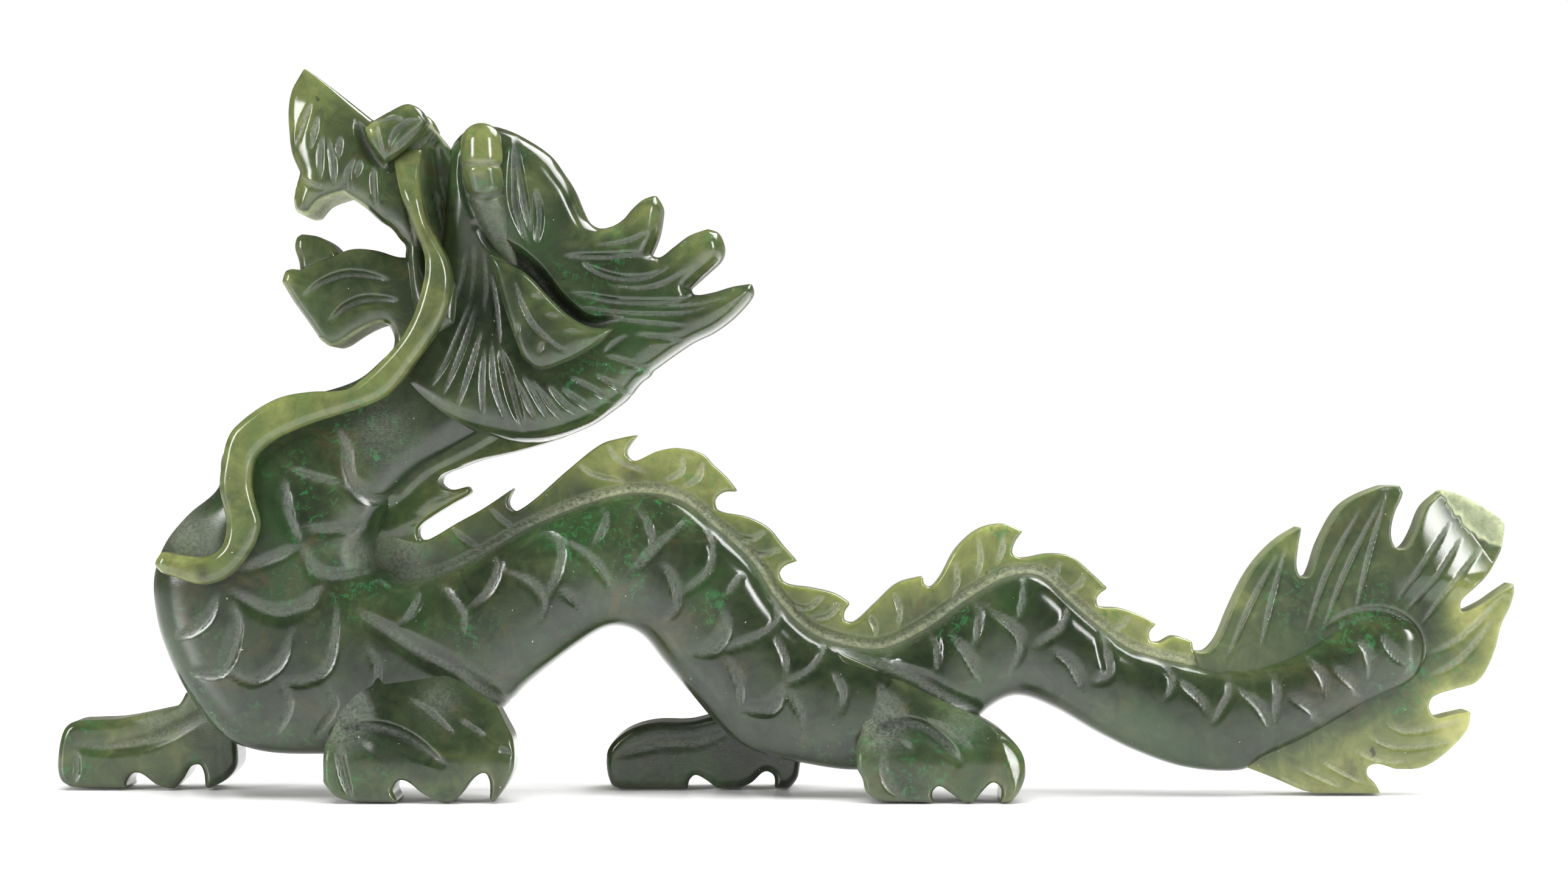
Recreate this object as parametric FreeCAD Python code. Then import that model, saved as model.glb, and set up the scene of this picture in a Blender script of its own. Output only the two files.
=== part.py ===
import FreeCAD, Part
import math
import os

# Jade figurine: a crouching Chinese dragon carved from one piece of nephrite.
# Frame: millimetres, +X from the head to the tail, +Z up, the dragon's left side towards -Y.
# The stone is parted into solids along its own carved lines, and the solids meet face to face.

os.makedirs("parts", exist_ok=True)

LENGTH_HALF = 100.0  # the stone reaches from -100 to +100 along X
FOOT_IN = 4.0  # inner face of every leg, measured from the middle plane
FOOT_OUT = 13.0  # outer face of every leg
FIN_HALF = 2.3  # half thickness of the dorsal fins
TAIL_FIN_HALF = 3.0  # half thickness of the tail fin
WHISKER_IN = 5.0  # the whiskers stand on the neck's sides
WHISKER_OUT = 11.5

parts = {}


def v(x, z, y=0.0):
    return FreeCAD.Vector(x, y, z)


def run(points):
    """One smooth stretch of an outline: a line for two points, else a spline through them."""
    ends = [v(*p) for p in points]
    if len(ends) == 2:
        return Part.makeLine(*ends)
    curve = Part.BSplineCurve()
    curve.interpolate(ends)
    return curve.toShape()


def plate(runs, y_low, y_high, soft=0.0):
    """A plate between two heights along Y. Each run of the outline starts where the last one ended."""
    edges = []
    start = runs[0][0]
    at = start
    for k, points in enumerate(runs):
        whole = list(points) if k == 0 else [at] + list(points)
        edges.append(run(whole))
        at = whole[-1]
    if math.dist(at, start) > 1e-6:
        edges.append(run([at, start]))
    face = Part.Face(Part.Wire(edges))
    face.translate(v(0, 0, y_low))
    return softened(face.extrude(v(0, 0, y_high - y_low)), y_low, y_high, soft)


def softened(solid, y_low, y_high, soft):
    """Rounds or bevels the rims of a plate's two flat sides, as far as its outline allows."""
    if soft <= 0:
        return solid
    rims = []
    for edge in solid.Edges:
        box = edge.BoundBox
        if box.YLength < 1e-6 and (abs(box.YMin - y_low) < 1e-6 or abs(box.YMin - y_high) < 1e-6):
            rims.append(edge)
    for share in (1.0, 0.7, 0.45):
        for cut in (solid.makeFillet, solid.makeChamfer):
            try:
                shape = cut(soft * share, rims)
            except Exception:
                continue
            if shape.isValid() and 0.5 * solid.Volume < shape.Volume < solid.Volume:
                return shape
    return solid


def ring(x, z, high, deep, lean, y=0.0):
    """An elliptical cross-section. lean is the way the body runs there, in degrees above +X."""
    along = math.radians(lean)
    up = FreeCAD.Vector(-math.sin(along), 0, math.cos(along))
    side = FreeCAD.Vector(0, 1, 0)
    centre = v(x, z, y)
    points = []
    for k in range(12):
        turn = math.pi * k / 6
        points.append(centre + up * (high * math.cos(turn)) + side * (deep * math.sin(turn)))
    curve = Part.BSplineCurve()
    curve.interpolate(points, PeriodicFlag=True)
    return Part.Wire(curve.toShape())


def body(stations, y=0.0):
    """A smooth body through elliptical cross-sections."""
    return Part.makeLoft([ring(*s, y) for s in stations], True, False)


def largest(shape):
    return max(shape.Solids, key=lambda s: s.Volume)


def mirrored(shape):
    return shape.mirror(FreeCAD.Vector(0, 0, 0), FreeCAD.Vector(0, 1, 0))


def add(name, shape, *seats):
    """Stores a node, cut back to meet the named nodes that it sits against."""
    for seat in seats:
        if shape.BoundBox.intersect(parts[seat].BoundBox):
            shape = shape.cut(parts[seat])
    parts[name] = largest(shape)


# ---- neck, trunk and tail: one S-shaped run of cross-sections, x, z, half height, half depth, lean

NECK = [
    (-42.0, 59.0, 8.5, 7.2, -140),
    (-51.5, 50.7, 8.2, 8.0, -140),
    (-60.6, 45.6, 9.6, 8.8, -132),
    (-66.2, 39.0, 11.6, 9.4, -112),
    (-70.0, 31.8, 15.2, 10.0, -90),
]
CHEST = [
    (-70.0, 31.8, 15.2, 10.0, -90),
    (-68.5, 24.5, 15.5, 10.2, -65),
    (-62.3, 18.2, 13.5, 10.0, -35),
    (-52.0, 18.0, 12.0, 9.5, 0),
    (-41.9, 21.3, 10.5, 9.2, 16),
]
TRUNK_FRONT = [
    (-41.9, 21.3, 10.5, 9.2, 16),
    (-35.6, 25.8, 9.4, 9.0, 19),
    (-29.5, 29.8, 8.9, 8.8, 16),
    (-25.4, 31.8, 9.0, 8.8, 8),
]
TRUNK_ARCH = [
    (-25.4, 31.8, 9.0, 8.8, 8),
    (-20.6, 32.2, 9.6, 8.8, -4),
    (-14.7, 29.8, 10.3, 8.8, -16),
    (-8.0, 22.9, 10.4, 8.8, -26),
    (-3.4, 17.8, 9.9, 8.8, -22),
]
TRUNK_SADDLE = [
    (-3.4, 17.8, 9.9, 8.8, -22),
    (2.1, 13.7, 9.2, 8.8, -13),
    (10.5, 12.0, 8.7, 8.8, 0),
    (20.9, 14.2, 9.7, 8.6, 9),
]
TRUNK_REAR_ARCH = [
    (20.9, 14.2, 9.7, 8.6, 9),
    (29.2, 20.4, 8.6, 8.2, 13),
    (33.6, 21.9, 8.9, 7.9, 3),
    (37.6, 19.6, 8.0, 7.6, -10),
    (42.4, 16.2, 6.4, 7.2, -20),
]
TAIL_ROOT = [
    (42.4, 16.2, 6.4, 7.2, -20),
    (49.9, 12.3, 6.6, 6.6, -16),
    (59.5, 10.6, 7.1, 5.8, -3),
    (69.8, 13.3, 6.1, 4.9, 5),
]
TAIL_TIP = [
    (69.8, 13.3, 6.1, 4.9, 5),
    (77.6, 17.7, 6.2, 4.3, 12),
    (83.4, 19.7, 4.8, 3.9, 5),
    (86.6, 19.6, 2.4, 3.4, 0),
]

add("chest", body(CHEST))
add("trunk_front", body(TRUNK_FRONT), "chest")
add("trunk_arch", body(TRUNK_ARCH), "trunk_front")
add("trunk_saddle", body(TRUNK_SADDLE), "trunk_arch")
add("trunk_rear_arch", body(TRUNK_REAR_ARCH), "trunk_saddle")
add("tail_root", body(TAIL_ROOT), "trunk_rear_arch")
add("tail_tip", body(TAIL_TIP), "tail_root")
add("neck", body(NECK), "chest")
TRUNK = ("chest", "trunk_front", "trunk_arch", "trunk_saddle", "trunk_rear_arch", "tail_root", "tail_tip")

# ---- head

SKULL = [
    [(-56.2, 92.1), (-51.7, 94.4), (-45.7, 87.9)],
    [(-44.6, 80.0), (-40.5, 70.0), (-36.0, 60.0)],
    [(-38.5, 57.5)],
    [(-47.0, 61.0), (-51.8, 70.0), (-52.3, 74.4)],
    [(-54.5, 82.0), (-56.2, 92.1)],
]
SNOUT = [
    [(-56.2, 92.1), (-60.2, 95.3), (-65.7, 99.3)],
    [(-67.4, 96.2), (-67.6, 90.5), (-66.2, 85.0)],
    [(-67.0, 81.7), (-64.7, 79.3)],
    [(-63.2, 81.0), (-60.2, 82.1)],
    [(-55.2, 78.3), (-51.8, 73.6)],
    [(-50.0, 82.0), (-51.7, 90.0), (-56.2, 92.1)],
]
LOWER_JAW = [
    [(-50.0, 73.0), (-55.6, 74.3), (-61.0, 73.9), (-66.2, 71.7)],
    [(-67.6, 71.8), (-68.7, 70.1)],
    [(-65.1, 64.6), (-62.0, 61.2)],
    [(-56.9, 63.8), (-53.7, 63.5), (-52.5, 58.0)],
    [(-48.0, 58.0), (-46.0, 66.0), (-50.0, 73.0)],
]
JAW_TOOTH = [
    [(-61.0, 73.9), (-62.1, 75.3), (-66.0, 76.6)],
    [(-66.9, 74.6), (-66.2, 71.7)],
    [(-63.5, 72.6), (-61.0, 73.9)],
]
BROW = [
    [(-59.9, 91.6), (-54.9, 86.4), (-49.2, 89.2)],
    [(-50.2, 92.6), (-54.0, 93.0), (-59.9, 91.6)],
]
HORN = [
    (-34.6, 70.5, 2.6, 2.4, 118),
    (-38.2, 77.5, 3.0, 3.0, 112),
    (-40.2, 81.8, 2.9, 3.1, 98),
    (-40.5, 84.8, 3.1, 3.3, 90),
    (-40.6, 88.3, 2.9, 3.3, 90),
    (-40.7, 91.0, 1.6, 2.0, 90),
]
EAR = [
    [(-40.2, 73.7), (-38.0, 65.6), (-34.5, 58.3)],
    [(-29.5, 59.1), (-23.2, 63.6)],
    [(-29.1, 65.0), (-34.5, 71.0), (-40.2, 73.7)],
]
MANE_CROWN = [
    [(-45.7, 87.9), (-44.0, 90.3), (-40.7, 91.4), (-35.0, 89.4), (-30.2, 85.0), (-27.0, 79.0)],
    [(-27.5, 74.0), (-31.0, 67.0)],
    [(-38.0, 64.0)],
    [(-41.0, 71.0), (-44.6, 80.0), (-45.7, 87.9)],
]
MANE_LOCK_UPPER = [
    [(-27.6, 79.8), (-26.0, 77.6), (-23.7, 77.6), (-21.0, 80.0), (-17.5, 81.9)],
    [(-16.6, 78.5), (-18.4, 73.6)],
    [(-22.6, 71.0), (-28.0, 73.4), (-31.0, 76.0), (-27.6, 79.8)],
]
MANE_LOCK_MIDDLE = [
    [(-30.5, 75.5), (-24.8, 73.0), (-18.4, 73.6)],
    [(-15.1, 74.8), (-10.4, 77.3)],
    [(-8.3, 74.0), (-12.9, 69.1)],
    [(-20.0, 67.6), (-29.5, 67.5), (-33.0, 71.0), (-30.5, 75.5)],
]
MANE_LOCK_LOWER = [
    [(-33.0, 68.0), (-22.0, 67.2), (-12.9, 69.1)],
    [(-9.7, 68.6), (-4.4, 69.8)],
    [(-5.1, 67.0), (-12.4, 61.8), (-18.0, 57.9)],
    [(-26.0, 59.0), (-34.0, 61.0), (-33.0, 68.0)],
]
BEARD_FAN = [
    [(-44.0, 66.0), (-36.0, 60.0), (-26.0, 58.5), (-18.0, 57.6)],
    [(-21.5, 54.0), (-28.3, 49.6), (-35.8, 47.9), (-46.3, 50.8), (-52.5, 54.5)],
    [(-48.5, 60.0), (-44.0, 66.0)],
]

add("skull", plate(SKULL, -8.5, 8.5, 2.5))
add("snout", plate(SNOUT, -7.2, 7.2, 2.0), "skull")
add("lower_jaw", plate(LOWER_JAW, -6.4, 6.4, 1.5), "skull", "snout")
add("jaw_tooth", plate(JAW_TOOTH, -5.0, 5.0, 0.8), "lower_jaw", "snout")
add("horn_left", body(HORN, -6.9), "skull")
add("horn_right", mirrored(parts["horn_left"]))
add("mane_crown", plate(MANE_CROWN, -7.5, 7.5, 2.0), "skull", "horn_left", "horn_right")
SKULL_SIDE = ("skull", "horn_left", "horn_right", "mane_crown")
add("mane_lock_upper", plate(MANE_LOCK_UPPER, -6.0, 6.0, 1.2), *SKULL_SIDE)
add("mane_lock_middle", plate(MANE_LOCK_MIDDLE, -6.6, 6.6, 1.2), *SKULL_SIDE, "mane_lock_upper")
add("mane_lock_lower", plate(MANE_LOCK_LOWER, -7.0, 7.0, 1.2), *SKULL_SIDE, "mane_lock_middle")
HEAD = ("skull", "snout", "lower_jaw", "mane_crown", "mane_lock_upper", "mane_lock_middle", "mane_lock_lower")
HORNS = ("horn_left", "horn_right")
add("brow_left", plate(BROW, -10.0, -5.0, 1.0), "skull", "snout")
add("brow_right", mirrored(parts["brow_left"]))
add("ear_left", plate(EAR, -10.4, -4.0, 1.0), *HEAD, *HORNS)
add("ear_right", mirrored(parts["ear_left"]))
parts["neck"] = largest(parts["neck"].cut(parts["skull"]).cut(parts["lower_jaw"]))
add("beard_fan", plate(BEARD_FAN, -9.2, 9.2, 1.5), *HEAD, "neck", "ear_left", "ear_right")

WHISKER = [
    [(-54.0, 87.5), (-52.0, 81.5), (-49.4, 74.0), (-49.7, 68.7), (-53.3, 61.2), (-60.0, 55.8),
     (-68.8, 54.1), (-75.1, 50.0), (-77.0, 43.4), (-76.2, 37.0), (-80.6, 32.8), (-84.0, 33.2)],
    [(-84.6, 31.2), (-83.4, 30.2)],
    [(-77.4, 29.6), (-72.3, 35.2), (-72.4, 44.6), (-64.3, 50.6), (-55.0, 54.1), (-48.2, 62.3),
     (-45.8, 70.5), (-48.8, 78.2), (-50.2, 87.5)],
    [(-54.0, 87.5)],
]
add("whisker_left", plate(WHISKER, -WHISKER_OUT, -WHISKER_IN, 0.8), *HEAD, "neck", "chest", "beard_fan", "brow_left")
add("whisker_right", mirrored(parts["whisker_left"]))

# ---- fins. Each outline is a lobe from its root in the back to its tip

NAPE_FIN_UPPER = [
    [(-29.9, 48.9), (-37.6, 46.6), (-44.8, 44.5), (-47.5, 42.7), (-46.1, 41.5)],
    [(-52.0, 42.0), (-48.0, 49.0), (-40.0, 52.0), (-29.9, 48.9)],
]
NAPE_FIN_LOWER = [
    [(-46.1, 41.5), (-43.6, 42.0)],
    [(-45.5, 39.7), (-50.5, 35.7), (-50.2, 34.6)],
    [(-57.0, 33.0), (-55.0, 42.0), (-46.1, 41.5)],
]
DORSAL_FINS = [
    [[(-50.2, 34.6), (-44.8, 37.0), (-36.9, 41.9)], [(-37.6, 39.2), (-35.0, 34.0)], [(-48.0, 28.0), (-50.2, 34.6)]],
    [[(-36.7, 38.6), (-31.9, 42.2), (-25.1, 47.8), (-20.0, 49.1)], [(-21.6, 46.7), (-19.0, 38.0)],
     [(-35.0, 34.0), (-36.7, 38.6)]],
    [[(-20.4, 45.5), (-15.0, 47.3), (-10.9, 46.3), (-6.3, 41.3)], [(-9.2, 40.2), (-9.0, 33.0)],
     [(-19.0, 38.0), (-20.4, 45.5)]],
    [[(-9.1, 38.8), (-4.3, 37.5), (1.8, 31.8)], [(-0.6, 30.1), (-2.5, 25.0)], [(-9.0, 33.0), (-9.1, 38.8)]],
    [[(0.0, 28.8), (5.2, 27.8), (9.1, 26.0)], [(8.3, 23.9), (8.0, 18.0)], [(-2.5, 25.0), (0.0, 28.8)]],
    [[(9.1, 23.3), (14.7, 28.0), (19.0, 29.7)], [(19.2, 28.8), (20.5, 20.0)], [(8.0, 18.0), (9.1, 23.3)]],
    [[(20.0, 28.2), (22.5, 32.0), (27.4, 36.4), (32.7, 35.9)], [(31.2, 33.1), (32.0, 26.0)],
     [(20.5, 20.0), (20.0, 28.2)]],
    [[(32.2, 32.1), (38.7, 32.7), (44.3, 28.1)], [(43.0, 26.0), (42.0, 20.0)], [(32.0, 26.0), (32.2, 32.1)]],
    [[(43.3, 25.5), (48.3, 24.7), (51.0, 23.1)], [(50.2, 21.5), (49.5, 15.0)], [(42.0, 20.0), (43.3, 25.5)]],
    [[(51.1, 20.5), (53.5, 21.5), (55.9, 20.8)], [(56.4, 19.2), (56.0, 14.0)], [(49.5, 15.0), (51.1, 20.5)]],
]
TAIL_FINS = [
    [[(56.4, 19.2), (59.5, 21.2), (65.0, 31.9), (70.9, 36.6)], [(70.2, 30.9), (71.6, 29.5)],
     [(70.0, 16.0), (57.0, 14.0)], [(56.4, 19.2)]],
    [[(71.6, 29.5), (74.6, 37.3), (84.4, 42.2)], [(83.1, 35.7), (84.9, 33.5)], [(79.0, 20.0), (70.0, 16.0)],
     [(71.6, 29.5)]],
    [[(84.9, 33.5), (87.5, 38.0), (90.7, 41.6)], [(96.4, 39.4), (99.5, 36.9)], [(98.6, 32.9), (92.7, 26.5)],
     [(93.5, 24.7), (85.0, 19.6)], [(79.0, 20.0), (84.9, 33.5)]],
    [[(93.5, 24.7), (98.0, 27.5), (LENGTH_HALF, 28.9)], [(98.2, 23.0), (96.0, 16.6), (88.3, 12.2)],
     [(88.7, 10.6)], [(81.0, 13.0)], [(85.0, 19.6), (93.5, 24.7)]],
    [[(88.7, 10.6), (90.7, 10.3), (94.1, 11.3)], [(92.1, 6.9), (83.7, 3.3)], [(80.1, 3.7)], [(70.0, 7.0)],
     [(74.0, 12.0)], [(81.0, 13.0)], [(88.7, 10.6)]],
    [[(80.0, 2.6), (81.7, 0.0)], [(72.8, 0.0)], [(66.8, 2.2), (61.0, 3.6)], [(64.0, 9.0)], [(70.0, 7.0)],
     [(80.0, 3.4)]],
]

add("nape_fin_upper", plate(NAPE_FIN_UPPER, -4.0, 4.0, 0.8), "neck", "beard_fan", "lower_jaw")
add("nape_fin_lower", plate(NAPE_FIN_LOWER, -3.5, 3.5, 0.8), "neck", "chest", "nape_fin_upper")
last = "nape_fin_lower"
for k, runs in enumerate(DORSAL_FINS, 1):
    name = f"dorsal_fin_{k}"
    add(name, plate(runs, -FIN_HALF, FIN_HALF, 0.7), *TRUNK, last)
    last = name
for k, runs in enumerate(TAIL_FINS, 1):
    name = f"tail_fin_{k}"
    add(name, plate(runs, -TAIL_FIN_HALF, TAIL_FIN_HALF, 0.7), *TRUNK, last)
    last = name

# ---- legs: a thigh carved on the body's side, running into a flat three-toed foot

FORELEG_LEFT = [
    [(-57.7, 24.8), (-60.8, 14.0), (-61.3, 6.8), (-61.2, 2.4)],
    [(-60.0, 0.9), (-58.1, 0.0)],
    [(-51.2, 0.0)],
    [(-52.1, 2.0), (-50.3, 2.9), (-46.4, 0.0)],
    [(-44.3, 0.0)],
    [(-41.7, 2.7), (-39.7, 4.0), (-39.2, 0.0)],
    [(-38.4, 0.0)],
    [(-36.0, 4.6), (-37.8, 11.6), (-43.8, 16.0)],
    [(-50.0, 19.6), (-57.7, 24.8)],
]
HINDLEG_LEFT = [
    [(7.1, 19.5), (8.6, 12.0), (9.7, 4.6), (10.9, 1.3), (12.6, 0.0)],
    [(20.1, 0.0)],
    [(20.3, 2.1), (22.5, 1.1), (24.2, 0.0)],
    [(25.2, 0.0)],
    [(27.5, 2.7), (29.0, 1.8), (28.7, 0.0)],
    [(30.3, 0.0)],
    [(32.3, 4.6), (29.2, 9.5), (26.5, 11.5)],
    [(17.7, 15.2), (7.1, 19.5)],
]
FORELEG_RIGHT = [
    [(-62.0, 22.0), (-76.0, 16.5), (-82.7, 13.0)],
    [(-83.9, 11.6), (-92.1, 9.8), (-98.4, 9.4)],
    [(-99.7, 6.1), (-LENGTH_HALF + 0.1, 2.8), (-98.6, 0.0)],
    [(-90.7, 0.0)],
    [(-90.9, 1.4), (-89.3, 2.3), (-85.3, 0.0)],
    [(-84.2, 0.0)],
    [(-82.0, 3.2), (-80.4, 2.8), (-80.1, 0.0)],
    [(-79.4, 0.0)],
    [(-75.4, 5.1), (-77.2, 7.2)],
    [(-72.0, 8.6), (-60.0, 8.0)],
    [(-56.0, 14.0), (-62.0, 22.0)],
]
HINDLEG_RIGHT = [
    [(-12.0, 22.0), (-10.0, 14.0), (-9.7, 10.1)],
    [(-15.5, 9.5), (-22.9, 7.6), (-24.6, 4.1), (-23.6, 0.0)],
    [(-13.2, 0.0)],
    [(-13.0, 1.7), (-10.9, 1.3), (-9.6, 0.0)],
    [(-5.7, 0.0)],
    [(-3.2, 2.3), (-1.4, 1.9), (-1.5, 0.0)],
    [(0.9, 0.0)],
    [(2.2, 4.2), (4.0, 8.0)],
    [(6.0, 14.0), (-2.0, 19.0), (-12.0, 22.0)],
]

add("foreleg_left", plate(FORELEG_LEFT, -FOOT_OUT, -FOOT_IN, 1.2), *TRUNK)
add("hindleg_left", plate(HINDLEG_LEFT, -FOOT_OUT, -FOOT_IN, 1.2), *TRUNK)
add("foreleg_right", plate(FORELEG_RIGHT, FOOT_IN, FOOT_OUT, 1.2), *TRUNK)
add("hindleg_right", plate(HINDLEG_RIGHT, FOOT_IN, FOOT_OUT, 1.2), *TRUNK)

for name, shape in parts.items():
    shape.exportStep(f"parts/{name}.step")
    box = shape.BoundBox
    print(f"{name:18s} valid {shape.isValid()} volume {shape.Volume:9.1f} "
          f"x {box.XMin:7.2f} {box.XMax:7.2f} y {box.YMin:6.2f} {box.YMax:6.2f} z {box.ZMin:6.2f} {box.ZMax:6.2f}")
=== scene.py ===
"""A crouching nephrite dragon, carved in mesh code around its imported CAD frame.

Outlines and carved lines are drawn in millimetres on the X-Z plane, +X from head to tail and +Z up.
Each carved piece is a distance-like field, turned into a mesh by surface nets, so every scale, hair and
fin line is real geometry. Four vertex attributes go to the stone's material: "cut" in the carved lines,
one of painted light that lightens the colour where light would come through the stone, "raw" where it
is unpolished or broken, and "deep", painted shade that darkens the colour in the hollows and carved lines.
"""
import math

import bpy
import numpy as np
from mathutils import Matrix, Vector


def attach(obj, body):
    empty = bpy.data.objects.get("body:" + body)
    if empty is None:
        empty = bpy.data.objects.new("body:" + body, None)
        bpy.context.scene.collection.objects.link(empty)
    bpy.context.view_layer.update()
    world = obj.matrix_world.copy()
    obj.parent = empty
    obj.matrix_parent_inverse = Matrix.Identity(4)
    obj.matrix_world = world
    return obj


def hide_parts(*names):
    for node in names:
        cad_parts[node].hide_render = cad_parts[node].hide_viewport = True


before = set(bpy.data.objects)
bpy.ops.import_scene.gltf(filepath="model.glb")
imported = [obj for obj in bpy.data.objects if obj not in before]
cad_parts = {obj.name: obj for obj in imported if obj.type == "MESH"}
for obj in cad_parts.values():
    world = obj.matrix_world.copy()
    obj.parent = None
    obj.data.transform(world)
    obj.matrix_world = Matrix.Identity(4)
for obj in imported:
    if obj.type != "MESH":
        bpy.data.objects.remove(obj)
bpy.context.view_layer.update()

MM = 0.001  # metres
EYE_AWAY = 450.0  # the camera's distance from the middle plane
EYE_HIGH = 48.33  # and its height
LENS = 75.46  # focal length on a sensor 36 mm wide
# the carving grid: for the long body, for the legs, for the head and the fins, and for small parts
COARSE = 0.45
STEP = 0.34
FINE = 0.26
FINEST = 0.24

# ---------------- lines and fields


def sighted(points, y):
    """Moves points drawn on the middle plane along their lines of sight to depth y."""
    k = 1 + y / EYE_AWAY
    return [(x * k, EYE_HIGH + (z - EYE_HIGH) * k) for x, z in points]


def smooth(points, per=6):
    """A smooth line through the points."""
    p = np.array(points, float)
    if len(p) < 3:
        return p
    a = np.vstack([2 * p[0] - p[1], p, 2 * p[-1] - p[-2]])
    t = np.linspace(0, 1, per, endpoint=False)[:, None]
    rows = []
    for i in range(1, len(a) - 2):
        before, start, end, after = a[i - 1 : i + 3]
        d0, d1, d2 = (np.linalg.norm(q) + 1e-9 for q in (start - before, end - start, after - end))
        m1 = (end - before) * d1 / (d0 + d1)
        m2 = (after - start) * d1 / (d1 + d2)
        h = (2 * t**3 - 3 * t**2 + 1) * start + (t**3 - 2 * t**2 + t) * m1
        rows.append(h + (3 * t**2 - 2 * t**3) * end + (t**3 - t**2) * m2)
    rows.append(p[-1:])
    return np.vstack(rows)


def outline(runs):
    """A closed outline of smooth runs that meet at corners. Each run starts where the last one ended."""
    rows, at = [], runs[0][0]
    for k, points in enumerate(runs):
        whole = list(points) if k == 0 else [at] + list(points)
        rows.append(smooth(whole)[:-1])
        at = whole[-1]
    if math.dist(at, runs[0][0]) > 1e-6:
        rows.append(np.array([at]))
    return np.vstack(rows)


def nearest(X, Z, line):
    """Distance to an open line, the place along it from 0 to 1, and which side of it the point is on."""
    seg = np.diff(line, axis=0)
    length = np.linalg.norm(seg, axis=1)
    along = np.concatenate([[0], np.cumsum(length)])
    best = np.full(X.shape, 1e9)
    place = np.zeros(X.shape)
    side = np.zeros(X.shape)
    for (ax, az), (sx, sz), n, s in zip(line[:-1], seg, length, along):
        if n < 1e-9:
            continue
        px, pz = X - ax, Z - az
        t = np.clip((px * sx + pz * sz) / n**2, 0, 1)
        d = np.hypot(px - t * sx, pz - t * sz)
        closer = d < best
        best = np.where(closer, d, best)
        place = np.where(closer, (s + t * n) / along[-1], place)
        side = np.where(closer, np.sign(sx * pz - sz * px), side)
    return best, place, side


def inside(X, Z, ring):
    """True for the grid points within a closed outline."""
    odd = np.zeros(X.shape, bool)
    for (ax, az), (bx, bz) in zip(ring, np.roll(ring, -1, axis=0)):
        if az == bz:
            continue
        crosses = ((az > Z) != (bz > Z)) & (X < (bx - ax) * (Z - az) / (bz - az) + ax)
        odd ^= crosses
    return odd


def depth_in(X, Z, ring):
    """Signed distance to a closed outline, positive inside."""
    closed = np.vstack([ring, ring[:1]])
    d = nearest(X, Z, closed)[0]
    return np.where(inside(X, Z, ring), d, -d)


def engrave(X, Z, strokes):
    """Depth of a set of carved lines, and how frosted their beds are. A stroke is (points, width, depth,
    lean): lean above 0 makes the left wall steep and the right one a long facet, below 0 the reverse."""
    total = np.zeros(X.shape)
    frost = np.zeros(X.shape)
    for points, width, deep, lean in strokes:
        line = smooth(points, 5)
        reach = width * 1.3
        lo, hi = line.min(0) - reach, line.max(0) + reach
        ix = np.nonzero((X[:, 0] > lo[0]) & (X[:, 0] < hi[0]))[0]
        iz = np.nonzero((Z[0] > lo[1]) & (Z[0] < hi[1]))[0]
        if not len(ix) or not len(iz):
            continue
        part = np.ix_(ix, iz)
        d, s, side = nearest(X[part], Z[part], line)
        taper = np.clip(np.sin(np.pi * np.clip(s, 0.02, 0.98)), 0, 1) ** 0.6
        half = width / 2 * (0.35 + 0.65 * taper)
        half = half * (1 - 0.45 * lean * side)
        cut = deep * taper * np.clip(1 - d / half, 0, 1)
        total[part] = np.maximum(total[part], cut)
        bed = taper * np.clip(1.25 * (1 - d / (0.14 + 0.15 * width)), 0, 1)
        frost[part] = np.maximum(frost[part], bed)
    return total, frost


def ramp(value, low, high):
    """A smooth step from 0 at low to 1 at high."""
    t = np.clip((value - low) / (high - low), 0, 1)
    return t * t * (3 - 2 * t)


# ---------------- surface nets

CORNERS = [(i, j, k) for i in (0, 1) for j in (0, 1) for k in (0, 1)]
EDGES = [
    (a, b) for a in range(8) for b in range(a + 1, 8)
    if sum(abs(np.subtract(CORNERS[a], CORNERS[b]))) == 1
]


def sample(field, p):
    """Field value at fractional grid positions."""
    top = np.array(field.shape) - 1.001
    p = np.clip(p, 0, top)
    i = p.astype(int)
    f = p - i
    out = np.zeros(len(p))
    for c in CORNERS:
        w = np.ones(len(p))
        for axis in range(3):
            w = w * (f[:, axis] if c[axis] else 1 - f[:, axis])
        out += w * field[i[:, 0] + c[0], i[:, 1] + c[1], i[:, 2] + c[2]]
    return out


def slope(field, p, reach=0.6):
    """The field's gradient at fractional grid positions."""
    rows = []
    for axis in range(3):
        d = np.zeros(3)
        d[axis] = reach
        rows.append((sample(field, p + d) - sample(field, p - d)) / (2 * reach))
    return np.stack(rows, axis=1)


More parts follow.
